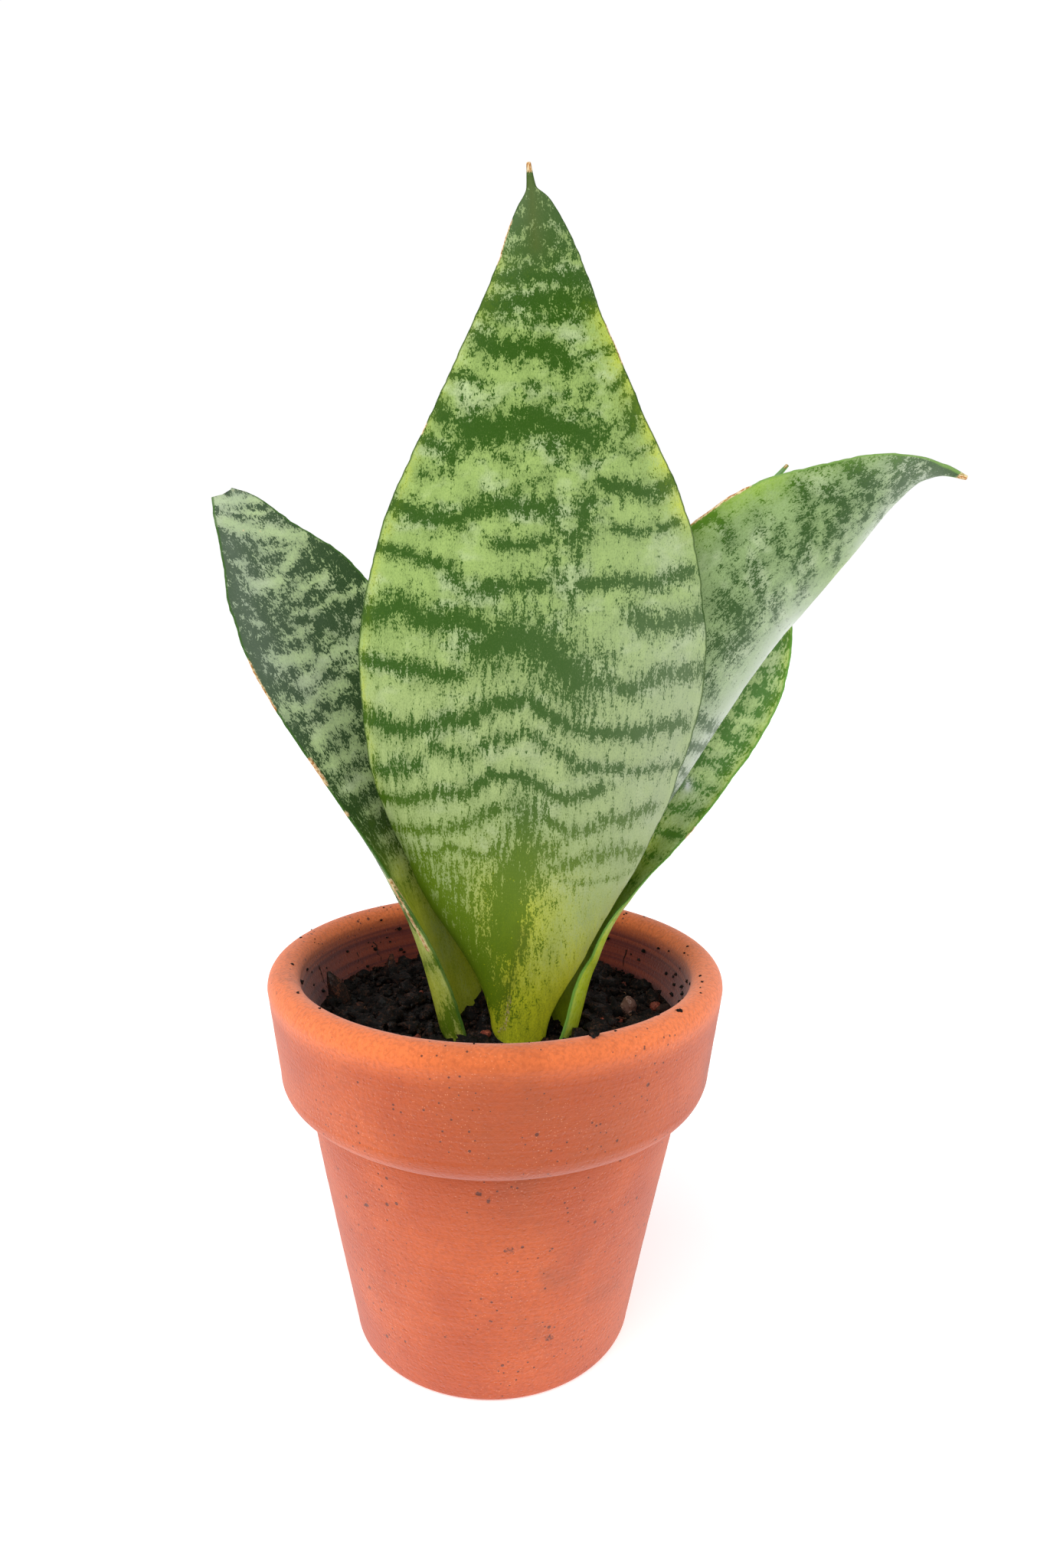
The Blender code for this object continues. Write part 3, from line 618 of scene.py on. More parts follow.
# %% Front leaf paint
FRONT_DARK = (
    (1.7, 1, -0.8, 177, 0.8, 178), (1.2, 0.8, -0.7, 171.5, 0, 171.5, 0.8, 172),
    (1.5, 1, -0.75, 166.5, 0, 166, 0.85, 166), (1.7, 1, -0.9, 161, -0.2, 161, 0.3, 161.5, 0.9, 162.5),
    (1.2, 0.8, -0.1, 157.5, 0.25, 158.5, 0.6, 158.5, 0.9, 161), (1.0, 0.6, -0.85, 157, -0.4, 157.5),
    (1.7, 1, -0.75, 154, -0.45, 152, 0, 152, 0.2, 151.5, 0.3, 149),
    (0.8, 0.7, 0.3, 149.5, 0.65, 151.5, 0.95, 153), (0.9, 0.8, -0.95, 147.5, -0.75, 147, -0.55, 145),
    (0.9, 0.7, -0.1, 145.5, 0, 145), (0.9, 0.7, 0.2, 143, 0.42, 142, 0.58, 146),
    (0.8, 0.8, 0.75, 144.5, 0.98, 148), (1.3, 1, -0.98, 141.5, -0.8, 138), (1.4, 1, 0.82, 137.5, 0.98, 143),
    (2.6, 1, -0.6, 137, -0.3, 136, 0, 138, 0.2, 136, 0.45, 135),
    (1.1, 0.9, -0.95, 135, -0.7, 132.5, -0.5, 133.5, -0.3, 134),
    (0.7, 0.6, 0.55, 132.8, 0.75, 131.5, 0.98, 134.5), (1.0, 0.7, -0.65, 131, -0.62, 128.5, -0.85, 128),
    (1.2, 0.6, -0.25, 131, -0.2, 129.5), (1.6, 0.55, -0.15, 125, 0.05, 126.5),
    (1.0, 0.8, 0.1, 134, 0.16, 130), (1.2, 0.8, 0.35, 133, 0.37, 130),
    (1.2, 1, 0.45, 125.5, 0.7, 124.5, 0.8, 124, 0.98, 127),
    (1.6, 0.9, 0.35, 123, 0.3, 121, 0.28, 117, 0.22, 114),
    (1.5, 0.95, -0.95, 122, -0.7, 119, -0.5, 118.5, -0.35, 121.5, 0, 121, 0.08, 120.5),
    (0.8, 0.8, 0.1, 123, 0.1, 117, 0.15, 116), (0.9, 0.8, 0.45, 117, 0.65, 116.5, 0.9, 118.5),
    (1.1, 0.9, -0.25, 114, -0.1, 113.5, 0.05, 114.5),
    (1.1, 0.9, -0.98, 113, -0.75, 111, -0.5, 108.5, -0.42, 105),
    (0.9, 0.7, 0.08, 113, 0.12, 108, 0.2, 104, 0.2, 100), (0.6, 0.7, 0.24, 113, 0.25, 109, 0.27, 103),
    (1.6, 0.9, -0.3, 104.5, -0.1, 105.5, 0.05, 106),
    (1.2, 0.9, 0.25, 106, 0.5, 107.5, 0.65, 106.5, 0.95, 109.5),
    (2.2, 0.95, -0.95, 98, -0.75, 100.5, -0.6, 97.5, -0.4, 98.5, -0.3, 97),
    (4.0, 0.95, -0.25, 93, -0.1, 95.5, 0.05, 94, 0.15, 90, 0.25, 87),
    (1.8, 0.9, 0.55, 101, 0.65, 98.5, 0.8, 99.5, 0.98, 101), (1.0, 0.7, 0.25, 91, 0.45, 92.5),
    (1.5, 0.95, -0.95, 88, -0.7, 87.5, -0.5, 86, -0.4, 86.5),
    (1.6, 0.8, 0.35, 87, 0.55, 86, 0.75, 89, 0.95, 90), (0.9, 0.7, 0.2, 85, 0.28, 80),
    (1.3, 0.95, -0.98, 75, -0.7, 74, -0.5, 76.5, -0.3, 78, -0.2, 81.5, 0, 82.5, 0.1, 80.5, 0.25, 77.5,
     0.4, 77, 0.6, 77, 0.9, 79.5),
    (1.2, 0.7, -0.55, 71, -0.35, 70.5, -0.2, 74, 0, 76, 0.1, 74, 0.25, 71, 0.35, 69),
    (1.4, 0.8, -0.95, 66, -0.8, 66.5, -0.65, 68), (1.3, 0.75, 0.3, 69, 0.5, 69, 0.7, 68, 0.95, 69),
    (1.0, 0.9, -0.98, 60, -0.75, 60.5, -0.5, 63, -0.35, 63, -0.2, 67, 0, 67, 0.1, 64.5, 0.25, 62, 0.4, 63,
     0.5, 65), (1.2, 0.8, 0.5, 57.5, 0.65, 57, 0.85, 59),
    (1.0, 0.8, -0.98, 53, -0.7, 54, -0.4, 56, -0.2, 59.5, 0, 61, 0.15, 58, 0.3, 55, 0.5, 56),
    (1.0, 0.75, -0.98, 48, -0.7, 49, -0.5, 51.5, -0.3, 50, -0.15, 51),
    (1.4, 0.7, 0.2, 48, 0.5, 49.5, 0.65, 50, 0.95, 49), (0.9, 0.6, -0.7, 44, -0.5, 45.5, -0.35, 44.5),
    (0.7, 0.5, 0.25, 45, 0.5, 44, 0.8, 44, 0.95, 45), (3.0, 0.8, 0.02, 60, 0.02, 52),
    (4.5, 0.95, 0, 50, -0.12, 42, -0.2, 32), (6.0, 0.85, -0.6, 40, -0.6, 20),
    # The stroke at the left margin from 24 to 42 mm is painted shade, where the foot lies in the left leaf's
    # shade.
    (3.0, 0.55, -0.1, 28, -0.2, 20), (5.0, 1.0, -0.95, 42, -0.8, 24), (6.0, 1, -1, 184, 1, 184),
    (7, 0.85, 0, 182, 0, 172), (7, 0.55, 0, 166, 0, 158))
FRONT_YOUNG = (
    (10, 1, -1, 16, 1, 16), (9, 1, -0.1, 0, -0.3, 18), (8, 0.8, -0.2, 24, -0.05, 38), (4, 0.6, 0.02, 50),
    (9, 1, 0.5, 4, 0.5, 16), (12, 1.3, -1, 0, 1, 0), (8, 0.65, 0.5, 24), (4, 0.4, -0.98, 160, -0.98, 170),
    (2, 0.35, -0.98, 60, -0.98, 160), (3, 0.5, 0.98, 120, 0.98, 160))
# Painted sheen on the front leaf: the grey reflection of the lamps on its right side, and at the tip.
FRONT_PAINTED_SHEEN = ((12, 0.6, 0.85, 92, 0.9, 58), (10, 0.3, 0.4, 86, 0.4, 60), (4, 0.4, -0.45, 182, -0.35, 178))
FRONT_DRY = (
    (0.35, 0.9, -1, 170, -1, 178), (0.3, 0.8, 1, 150, 1, 158), (0.3, 0.8, -1, 136, -1, 138),
    (0.5, 1, 0, 188.5, 0, 187), (1.6, 0.3, 0.62, 69, 0.76, 69), (0.5, 0.6, -0.5, 11, -0.3, 13, -0.2, 20),
    (0.25, 0.7, 0.33, 139.5), (0.25, 0.6, 0.35, 30), (0.25, 0.6, -0.22, 127))
FRONT_GROOVE = (
    (0.7, 1, -0.55, 8, -0.35, 13, -0.2, 20, -0.05, 29, 0.0, 34),
    (0.9, 1, -0.1, 185, -0.12, 178, -0.05, 172))

# %% Other leaves' paint
# A face that is dark with pale marks is brushed with pale strokes instead.
LEFT_PALE = (
    (9, 0.4, 0.1, 122, 0.3, 80), (10, 1, 0.9, 5, 0.5, 30), (10, 1, 0, 5, 0, 30),
    (2.6, 0.96, 0.3, 46, 0.6, 44), (1.3, 1, -0.9, 136, 0, 137.5, 0.9, 138.5),
    (1.7, 1, -0.85, 123, -0.4, 127, 0, 129, 0.3, 131, 0.6, 133, 0.95, 134.5),
    (1, 0.84, -0.7, 132, -0.2, 133.5, 0.3, 135), (1.3, 0.96, -0.6, 121, -0.3, 119, -0.1, 118),
    (1.7, 0.96, 0.05, 116, 0.25, 115.5, 0.5, 117), (1.2, 0.72, -0.3, 122.5, 0, 124), (1, 0.72, -0.2, 114.5),
    (1.4, 0.84, -0.6, 112, -0.2, 112, 0, 111), (1.2, 0.72, -0.9, 106, -0.5, 107, -0.2, 106, 0.1, 107),
    (1.3, 0.66, 0.5, 122, 0.7, 123), (1.8, 0.96, 0.2, 97, 0.6, 98),
    (2.1, 0.9, -0.35, 95, -0.1, 96, 0.15, 94, 0.4, 92), (1.2, 0.84, -0.5, 91, -0.2, 91),
    (1.3, 0.72, 0.1, 103, 0.3, 102), (2, 0.84, 0, 88, 0.3, 88, 0.6, 86, 0.9, 88),
    (2, 0.96, 0.1, 81, 0.5, 80, 0.75, 78), (2.1, 0.9, 0.15, 74, 0.4, 73, 0.75, 72),
    (2.1, 0.84, 0.2, 67, 0.5, 66, 0.75, 66), (1.8, 0.72, 0.2, 60, 0.5, 59), (1.6, 0.66, 0.25, 53, 0.5, 52),
    (1.3, 0.6, 0.6, 107, 0.8, 109), (1.3, 0.66, -0.8, 99, -0.5, 100), (1.6, 0.72, -0.8, 84, -0.4, 85),
    (1.8, 0.72, -0.8, 76, -0.2, 75), (8, 1, -0.9, 8, -0.6, 25, -0.3, 36))
LEFT_YOUNG = ((7, 0.8, -0.9, 0, -0.7, 30), (9, 1, 0, 0, 0, 16), (10, 1, 0.9, 0, 0.6, 34))
LEFT_FOOT_DARK = [(3, 0.75, 0.5, 10, 0.9, 14), (2.5, 0.6, 0, 24, 0.9, 25)]
# Painted sheen on the left leaf's inner face: a grey-white reflection of the lamps on one side and near the
# tip.
LEFT_PAINTED_SHEEN = ((8, 0.55, 0.75, 128, 0.8, 98), (5, 0.35, 0.4, 112, 0.5, 96), (5, 0.5, -0.3, 138, 0.6, 137))
LEFT_DRY = (
    (0.55, 1, 0.99, 75, 0.99, 69), (0.6, 0.9, 0.99, 60.5), (0.35, 0.9, 1, 100, 1, 88),
    (0.3, 0.8, 0.2, 130, 0.26, 130), (0.3, 0.7, 0.55, 131), (0.5, 0.8, 0.98, 44, 0.9, 34, 0.9, 28),
    (0.4, 0.5, 1, 139, -1, 139), (0.25, 0.8, -0.2, 128))
RIGHT_DARK = (
    (1.6, 0.7, -0.97, 108, -0.94, 122), (1.2, 0.6, -0.97, 140, -0.95, 152),
    (2.2, 0.8, -0.75, 150, -0.35, 152, -0.1, 150), (2.5, 0.75, -0.5, 143, -0.2, 146, 0, 141),
    (1.5, 0.6, 0.1, 150, 0.3, 147), (2, 0.75, -0.35, 136, -0.1, 134, 0.05, 130),
    (1.8, 0.65, -0.1, 142, 0.1, 138), (1.5, 0.65, -0.4, 129, -0.15, 127),
    (2, 0.65, -0.25, 121, 0, 119, 0.2, 117), (3, 0.75, -0.15, 112, 0.05, 113, 0.25, 110),
    (3, 0.75, 0.05, 105, 0.25, 106), (1.5, 0.55, -0.7, 128, -0.5, 127), (1.5, 0.65, -0.85, 122, -0.6, 121),
    (2, 0.65, 0.2, 98, 0.4, 95), (1.2, 0.6, -0.45, 117, -0.3, 117), (2, 0.6, 0.3, 132, 0.5, 128),
    (2, 0.6, 0.2, 122, 0.45, 119), (3, 0.8, -0.9, 160, -0.4, 161, 0.1, 158), (5, 0.9, -0.8, 168, 0.8, 168),
    (2, 0.6, 0.4, 155, 0.7, 153), (1.6, 0.6, 0.35, 141, 0.55, 139), (1.5, 0.7, -0.8, 138, -0.55, 138))
# The first two strokes, along the upper margin, are painted light: the yellow-green of light shining through
# the thin edge from behind. The rest is the yellow of new growth.
RIGHT_YOUNG_AND_LIT_MARGIN = (
    (3.5, 0.65, -0.98, 112, -0.98, 135), (3, 0.5, -0.98, 135, -0.98, 160), (9, 1, 0, 0, 0, 20),
    (7, 0.6, 0, 30), (3, 0.5, 0.98, 140, 0.98, 165))
# Painted sheen on the right leaf: the bright reflection along its lower edge, and near the tip.
RIGHT_PAINTED_SHEEN = (
    (4.2, 1, 0.99, 76, 0.99, 122), (6, 0.3, 0.8, 85, 0.8, 120), (5, 0.3, 0.2, 160, -0.5, 161),
    (3, 0.7, 0.9, 150, 0.95, 165))
RIGHT_DRY = (
    (0.35, 1, -1, 118, -1, 130), (0.25, 0.7, 1, 128, 1, 160), (0.6, 1, 0, 174.5, 0, 173),
    (1.5, 0.25, 0.45, 92))
BACK_DARK = (
    (1.8, 0.77, -0.9, 110, -0.3, 108, 0.5, 110), (1.3, 0.69, -0.95, 104, -0.6, 103, -0.3, 100),
    (2.5, 0.77, -0.9, 99, -0.5, 98, 0, 98), (1.1, 0.69, -0.9, 94, -0.5, 93, -0.2, 95),
    (2.1, 0.77, -0.85, 86, -0.4, 88, 0, 86), (0.9, 0.61, -0.95, 90, -0.7, 90),
    (2.1, 0.77, -0.8, 80, -0.3, 78, 0.1, 79), (1.5, 0.69, -0.9, 73, -0.4, 71, 0, 72),
    (1.8, 0.69, -0.9, 66, -0.4, 64, 0, 65), (1.5, 0.69, -0.9, 58, -0.3, 57, 0.2, 58),
    (1.5, 0.61, -0.9, 51, 0.3, 50), (1.5, 0.61, -0.8, 43, 0.5, 42), (1.5, 0.69, -0.9, 117, 0.5, 116),
    (1.1, 0.61, -0.9, 123, 0.5, 122), (2.5, 0.69, -0.8, 131, 0.8, 131), (6, 1, -1, 141, 1, 141),
    (6, 1, -1, 150, 1, 150))
BACK_YOUNG = ((10, 1, 0, 0, 0, 24), (10, 0.9, 0, 30, 0, 48), (2, 0.5, -0.98, 60, -0.98, 115))
# Painted sheen on the back leaf: a small bright fleck and the paler tip.
BACK_PAINTED_SHEEN = ((0.4, 1.6, -0.5, 70.6, -0.46, 71.6), (7, 0.7, 0, 143, 0, 150))
BACK_DRY = ((0.5, 0.8, 0, 155, 0, 153.5), (0.25, 0.7, -1, 58, -1, 62))
FOOT_YOUNG = ((12, 1, 0, 0, 0, 22), (10, 0.7, 0, 36))
# In this table the third paint of each face is painted sheen too, a reflection of the lamps.
PAINT = {  # (outer face, inner face), each with its strokes by paint
    "front_leaf": (
        {"dark": FRONT_DARK, "young": FRONT_YOUNG, "painted_sheen": FRONT_PAINTED_SHEEN, "dry": FRONT_DRY,
         "groove": FRONT_GROOVE},
        {"dark": cross_bands(3, 40, 180, 7), "young": FOOT_YOUNG, "painted_sheen": ((12, 0.15, -0.5, 100),),
         "dry": FRONT_DRY[:4]}),
    "left_leaf": (
        {"dark": cross_bands(5, 34, 139, 7.5) + LEFT_FOOT_DARK, "young": FOOT_YOUNG,
         "painted_sheen": ((9, 0.4, 0.8, 50, 0.9, 75),), "dry": LEFT_DRY[:3] + LEFT_DRY[5:7]},
        {"pale": LEFT_PALE, "young": LEFT_YOUNG, "painted_sheen": LEFT_PAINTED_SHEEN, "dry": LEFT_DRY}),
    "right_leaf": (
        {"dark": RIGHT_DARK + tuple(cross_bands(8, 30, 95, 7)), "young": RIGHT_YOUNG_AND_LIT_MARGIN, "painted_sheen": RIGHT_PAINTED_SHEEN,
         "dry": RIGHT_DRY},
        {"dark": cross_bands(9, 30, 172, 6.5), "young": FOOT_YOUNG, "painted_sheen": ((6, 0.2, 0, 150),),
         "dry": RIGHT_DRY[:3]}),
    "right_back_leaf": (
        {"dark": cross_bands(12, 36, 140, 7), "young": FOOT_YOUNG, "painted_sheen": ((9, 0.4, 0, 140, 0, 152),),
         "dry": BACK_DRY},
        {"dark": BACK_DARK, "young": BACK_YOUNG, "painted_sheen": BACK_PAINTED_SHEEN, "dry": BACK_DRY}),
}
print("strokes on the front leaf:", len(FRONT_DARK))

# %% [markdown]
# ## Leaf skin
#
# All four leaves share one skin, so it is one node group. It takes the painted values and the
# leaf's own colours, frays the bands, adds the fibres that run along the leaf, and draws the thin
# dark rim. It gives back a colour, how rough the surface is, and a height for the bump.

# %% Leaf skin
# The last colour is the colour of the painted sheen.
LEAF_COLOURS = ("Pale", "Deep", "Young Pale", "Young Deep", "Rim", "Painted Sheen")
skin_tree, b, given, out = group(
    "leaf_skin", [("Vector", "Vector", None)] + [(name, "Color", None) for name in LEAF_COLOURS],
    [("Colour", "Color"), ("Roughness", "Float"), ("Height", "Float")])
at = given["Vector"]
upward = b.add("ShaderNodeSeparateXYZ", {"Vector": at}).outputs["Y"]

# A ragged noise: streaks along the fibres low on the leaf, and blots higher up, both with a fine fray.
blots = b.clouds(b.stretch(at, (62, 44, 1)), 1.0, 4.0, 0.65)
streaks = b.clouds(b.stretch(at, (112, 24, 1)), 1.0, 4.0, 0.65)
blotty = b.between(upward, 0.7, 1.4, 0.15, 0.85)
jag = b.sums("ADD", b.sums("MULTIPLY", b.sums("SUBTRACT", blots, streaks), blotty), streaks)
fray = b.clouds(b.stretch(at, (330, 170, 1)), 1.0, 3.0, 0.65)
ragged = b.sums("ADD", b.sums("MULTIPLY", b.sums("SUBTRACT", jag, 0.5), 2.6),
                b.sums("MULTIPLY", b.sums("SUBTRACT", fray, 0.5), 1.9))

# The painted bands and new growth get ragged edges. The bands are calmer where growth is new.
young = b.between(b.sums("ADD", b.painted("young"), b.sums("MULTIPLY", ragged, 0.25)), 0.15, 0.85)
calm = b.between(b.painted("young"), 0.3, 0.8, 1.0, 0.45)
band = b.between(b.sums("ADD", b.painted("dark"), b.sums("MULTIPLY", ragged, calm)), 0.44, 0.60)

# The pale colour is chalky in patches, turned grey low on the blade by a painted grey sheen, and yellower
# where growth is new.
chalk = b.between(b.clouds(b.stretch(at, (9, 13, 1)), 1.0, 3.0, 0.6), 0.48, 0.68, 0.0, 0.5)
pale = b.mix(b.sums("MULTIPLY", chalk, b.sums("SUBTRACT", 1.0, young)), given["Pale"], linear(206, 220, 178))
grey_sheen = b.mix(0.6, given["Pale"], linear(172, 178, 140))
pale = b.mix(b.between(upward, 1.05, 0.75, 0.0, 0.5), pale, grey_sheen)
pale = b.mix(young, pale, given["Young Pale"])
low_blade = b.between(upward, 0.7, 0.4, 0.0, 0.8)
deep = b.mix(b.sums("MAXIMUM", young, low_blade), given["Deep"], given["Young Deep"])

# Clouds, fibres and dust break up both colours. The pale one darkens towards a band.
cloud = b.clouds(b.stretch(at, (26, 11, 1)), 1.0, 3.0, 0.6)
fibre = b.clouds(b.stretch(at, (900, 45, 1)), 1.0, 2.0, 0.6)
dust = b.clouds(b.stretch(at, (360, 240, 1)), 1.0, 3.0, 0.75)
tint = b.sums("ADD", b.between(cloud, 0.3, 0.7, 0.0, 0.16), b.between(fibre, 0.3, 0.7, 0.0, 0.12))
tint = b.sums("ADD", tint, b.between(dust, 0.50, 0.68, 0.0, 0.34))
near_band = b.sums("ADD", b.painted("dark"), b.sums("MULTIPLY", ragged, 0.5))
pale = b.mix(b.sums("ADD", tint, b.between(near_band, 0.0, 0.55, 0.0, 0.32)), pale, deep)
light_spots = b.between(dust, 0.48, 0.34, 0.0, 0.13)
deep = b.mix(b.sums("ADD", b.sums("MULTIPLY", tint, 0.05), light_spots), deep, pale)
colour = b.mix(band, pale, deep)

# Light dots on new growth, the painted sheen where the lamps reflect off the waxy skin, and the thin dark
# rim.
dots = specks(b, at, 95.0, 0.16)
colour = b.mix(b.sums("MULTIPLY", dots, b.sums("MULTIPLY", young, 0.35)), colour, given["Young Pale"])
painted_sheen = b.sums("MULTIPLY", b.painted("painted_sheen"), b.between(cloud, 0.2, 0.8, 0.8, 1.0))
colour_with_sheen = b.mix(b.sums("MULTIPLY", painted_sheen, 0.95), colour, given["Painted Sheen"])
colour = b.mix(b.sums("SUBTRACT", 1.0, b.sums("MULTIPLY", band, 0.6)), colour, colour_with_sheen)
rim = b.between(b.painted("edge"), 0.2, 0.65, 0.85, 0.0)
colour = b.mix(rim, colour, given["Rim"])

# Dead brown patches with a crumpled edge, and the shade in a crease.
crumple = b.clouds(b.stretch(at, (300, 120, 1)), 1.0, 3.0, 0.6)
dry = b.sums("ADD", b.painted("dry"), b.sums("MULTIPLY", b.sums("SUBTRACT", crumple, 0.5), 0.8))
dry = b.between(dry, 0.4, 0.6)
dead = b.mix(b.between(crumple, 0.4, 0.6), linear(176, 116, 58), linear(232, 208, 164))
dry_share = b.sums("MINIMUM", b.sums("MULTIPLY", b.painted("dry"), 1.3), 1.0)
colour = b.mix(b.sums("MULTIPLY", dry, dry_share), colour, dead)
colour = b.mix(b.sums("MULTIPLY", b.painted("groove"), 0.35), colour, linear(92, 98, 40))

# Painted sheen and dead patches are rougher. The fibres stand out a little, and the bands lie lower.
rough = b.sums("ADD", b.between(cloud, 0.3, 0.7, 0.34, 0.44), b.sums("MULTIPLY", painted_sheen, 0.12))
rough = b.sums("ADD", rough, b.sums("MULTIPLY", dry, 0.3), clamp=True)
lift = b.sums("ADD", b.sums("MULTIPLY", fibre, 0.6), b.sums("MULTIPLY", dust, 0.2))
lift = b.sums("SUBTRACT", lift, b.sums("MULTIPLY", band, 0.12))
lift = b.sums("ADD", lift, b.sums("MULTIPLY", dry, 0.8))
for name, socket in (("Colour", colour), ("Roughness", rough), ("Height", lift)):
    b.tree.links.new(socket, out[name])


def leaf_finish(name, *colours):
    """The skin of one leaf. The colours are in the order of LEAF_COLOURS, as the eye sees them."""
    made, b, shader = new_finish(name, Specular_IOR_Level=0.1)
    values = {"Vector": b.add("ShaderNodeUVMap", uv_map="leaf").outputs["UV"]}
    for socket, colour in zip(LEAF_COLOURS, colours):
        values[socket] = linear(*colour)
    skin = b.add("ShaderNodeGroup", values, node_tree=skin_tree)
    plug(b, shader, Base_Color=skin.outputs["Colour"], Roughness=skin.outputs["Roughness"],
         Normal=b.bump(skin.outputs["Height"], 0.00012, 0.6))
    return made


FINISHES = {
    "front_leaf": leaf_finish("front_leaf_skin", (158, 184, 102), (40, 78, 0), (232, 236, 30),
                              (94, 122, 0), (40, 72, 8), (164, 174, 152)),
    "left_leaf": leaf_finish("left_leaf_skin", (184, 208, 140), (32, 64, 14), (202, 208, 60),
                             (96, 124, 8), (60, 98, 34), (176, 186, 178)),
    "right_leaf": leaf_finish("right_leaf_skin", (146, 172, 112), (44, 78, 20), (150, 182, 70),
                              (84, 128, 20), (120, 156, 80), (226, 230, 228)),
    # The back leaf's colours are painted lighter than the others', as painted light shining through it from
    # behind.
    "right_back_leaf": leaf_finish("right_back_leaf_backlit_skin", (206, 230, 158), (84, 128, 60), (196, 214, 44),
                                   (92, 138, 0), (104, 160, 66), (222, 228, 222)),
}
print("leaf finishes:", list(FINISHES))

# %% [markdown]
# ## Leaves
#
# The tube's corners are carried to the leaf with its section and its rows. The blade also gets
# what a real leaf has and a formula has not: long shallow waves, a slightly uneven margin, and a
# crease where the young leaf was folded. Then the paints are stored, and a UV map in hundredths
# of a metre lets the fibres follow the leaf.

# %% Leaf tube
LEAF_SIDES = 128


def leaf_tube(last):
    """A plain tube from height 0 to last, whose sides are cut into rows 1 apart."""
    bm = bmesh.new()
    bmesh.ops.create_cone(bm, cap_ends=True, segments=LEAF_SIDES, radius1=1, radius2=1, depth=last,
                          matrix=Matrix.Translation((0, 0, last / 2)))
    uprights = [edge for edge in bm.edges if abs(edge.verts[0].co.z - edge.verts[1].co.z) > 0.5]
    bmesh.ops.subdivide_edges(bm, edges=uprights, cuts=last - 1, use_grid_fill=True)
    return bm


# %% Leaf paint
PAINTS = ("dark", "young", "painted_sheen", "dry", "groove")


def paint_values(name, x, y, width_at, on_inner):
    """Each paint's value at each point. A face brushed with pale is dark where no stroke lies."""
    values = {}
    for paint in PAINTS:
        outer, inner = [brushed(x, y, width_at, face.get(paint, ())) for face in PAINT[name]]
        values[paint] = np.where(on_inner, inner, outer)
    for face, here in zip(PAINT[name], (~on_inner, on_inner)):
        if "pale" in face:
            values["dark"] = np.where(here, 1 - brushed(x, y, width_at, face["pale"]), values["dark"])
    return values


def paint_mesh(mesh, name, values):
    mesh.attributes.new(name, "FLOAT", "POINT").data.foreach_set("value", values.astype(np.float32))


# %% Leaf form
SWAY = 0.9  # how far the blade's waves reach, in millimetres like the next two
NOTCH = 0.35  # how uneven the margin is
CREASE = 0.35  # how deep a groove is


def margin_noise(across, along, seed):
    """How far the margin runs out at a point along a leaf. Each side of the leaf has its own."""
    side = math.copysign(3, across)
    return (noise.noise(Vector((along * 0.16, seed, side)))
            + 0.6 * noise.noise(Vector((along * 0.6, seed, side))))


def leaf_points(name, rows, row, across, up, groove):
    """Where each corner of the tube goes, in millimetres from the axis at the soil's level."""
    along, width, bend = rows["along"][row], rows["width"][row], rows["bend"][row]
    x, seed = across * width, 10.0 * len(name)
    blade = np.clip((along - 25) / 40, 0, 1) * np.clip(width / 8, 0, 1)
    wave = np.array([noise.noise(Vector((a * 0.03, b * 0.022, seed))) for a, b in zip(x, along)])
    notch = np.array([margin_noise(a, b, seed) for a, b in zip(x, along)])
    half = width + NOTCH * notch * np.clip(width / 6, 0, 1) * np.abs(across)
    radius = width / np.maximum(bend, 0.01)
    turn = across * half / radius
    rise = rows["thick"][row] * up + SWAY * wave * blade + np.where(up < 0, CREASE, 0.0) * groove
    spots = rows["middle"][row] + ((radius - rise) * np.sin(turn))[:, None] * rows["side"][row]
    return spots + (radius - (radius - rise) * np.cos(turn))[:, None] * rows["hollow"][row]


def broken_tip(spots, rows, row, across, tip_cut):
    """Lifts the last 6 mm by tip_cut, a list of places across and a list of heights."""
    near_tip = np.clip((rows["along"][row] - rows["along"][-1] + 6) / 6, 0, 1) ** 2
    forward = rows["middle"][-1] - rows["middle"][-3]
    forward /= np.linalg.norm(forward)
    return spots + (np.interp(across, *tip_cut) * near_tip)[:, None] * forward


# %% Leaf builder
def leaf(name, tip_cut=None, grain=1.0, shift=0.0):
    """One leaf. Grain sets how fine its pattern is, and shift turns streaks into blots."""
    rows = leaf_rows(name)
    bm = leaf_tube(len(rows["along"]) - 1)
    tube = np.array([vert.co for vert in bm.verts])
    row = np.rint(tube[:, 2]).astype(int)
    angle = np.arctan2(tube[:, 1], tube[:, 0])
    across, up = np.cos(angle), np.sin(angle)
    on_inner = up > 1e-6
    x, y = across * rows["width"][row], rows["along"][row]

    def width_at(along):
        return np.interp(along, rows["along"], rows["width"])

    values = paint_values(name, x, y, width_at, on_inner)
    spots = leaf_points(name, rows, row, across, up, values["groove"])
    if tip_cut:
        spots = broken_tip(spots, rows, row, across, tip_cut)
    for vert, spot in zip(bm.verts, spots):
        vert.co = Vector(spot) * MM + Vector((0, 0, SOIL_TOP)) + AXIS
    layer = bm.loops.layers.uv.new("leaf")
    for face in bm.faces:
        aside = 2 if sum(up[vert.index] for vert in face.verts) > 0 else 0  # the inner face has its own place
        for loop in face.loops:
            i = loop.vert.index
            loop[layer].uv = (x[i] / 100 * grain + aside, y[i] / 100 * grain + shift)
    made = piece_from(bm, name + "_blade", FINISHES[name], [name], sharp=70)
    for paint in PAINTS:
        paint_mesh(made.data, paint, values[paint])
    paint_mesh(made.data, "edge", np.clip((1 - np.abs(across)) * rows["width"][row], 0, 10))
    return made


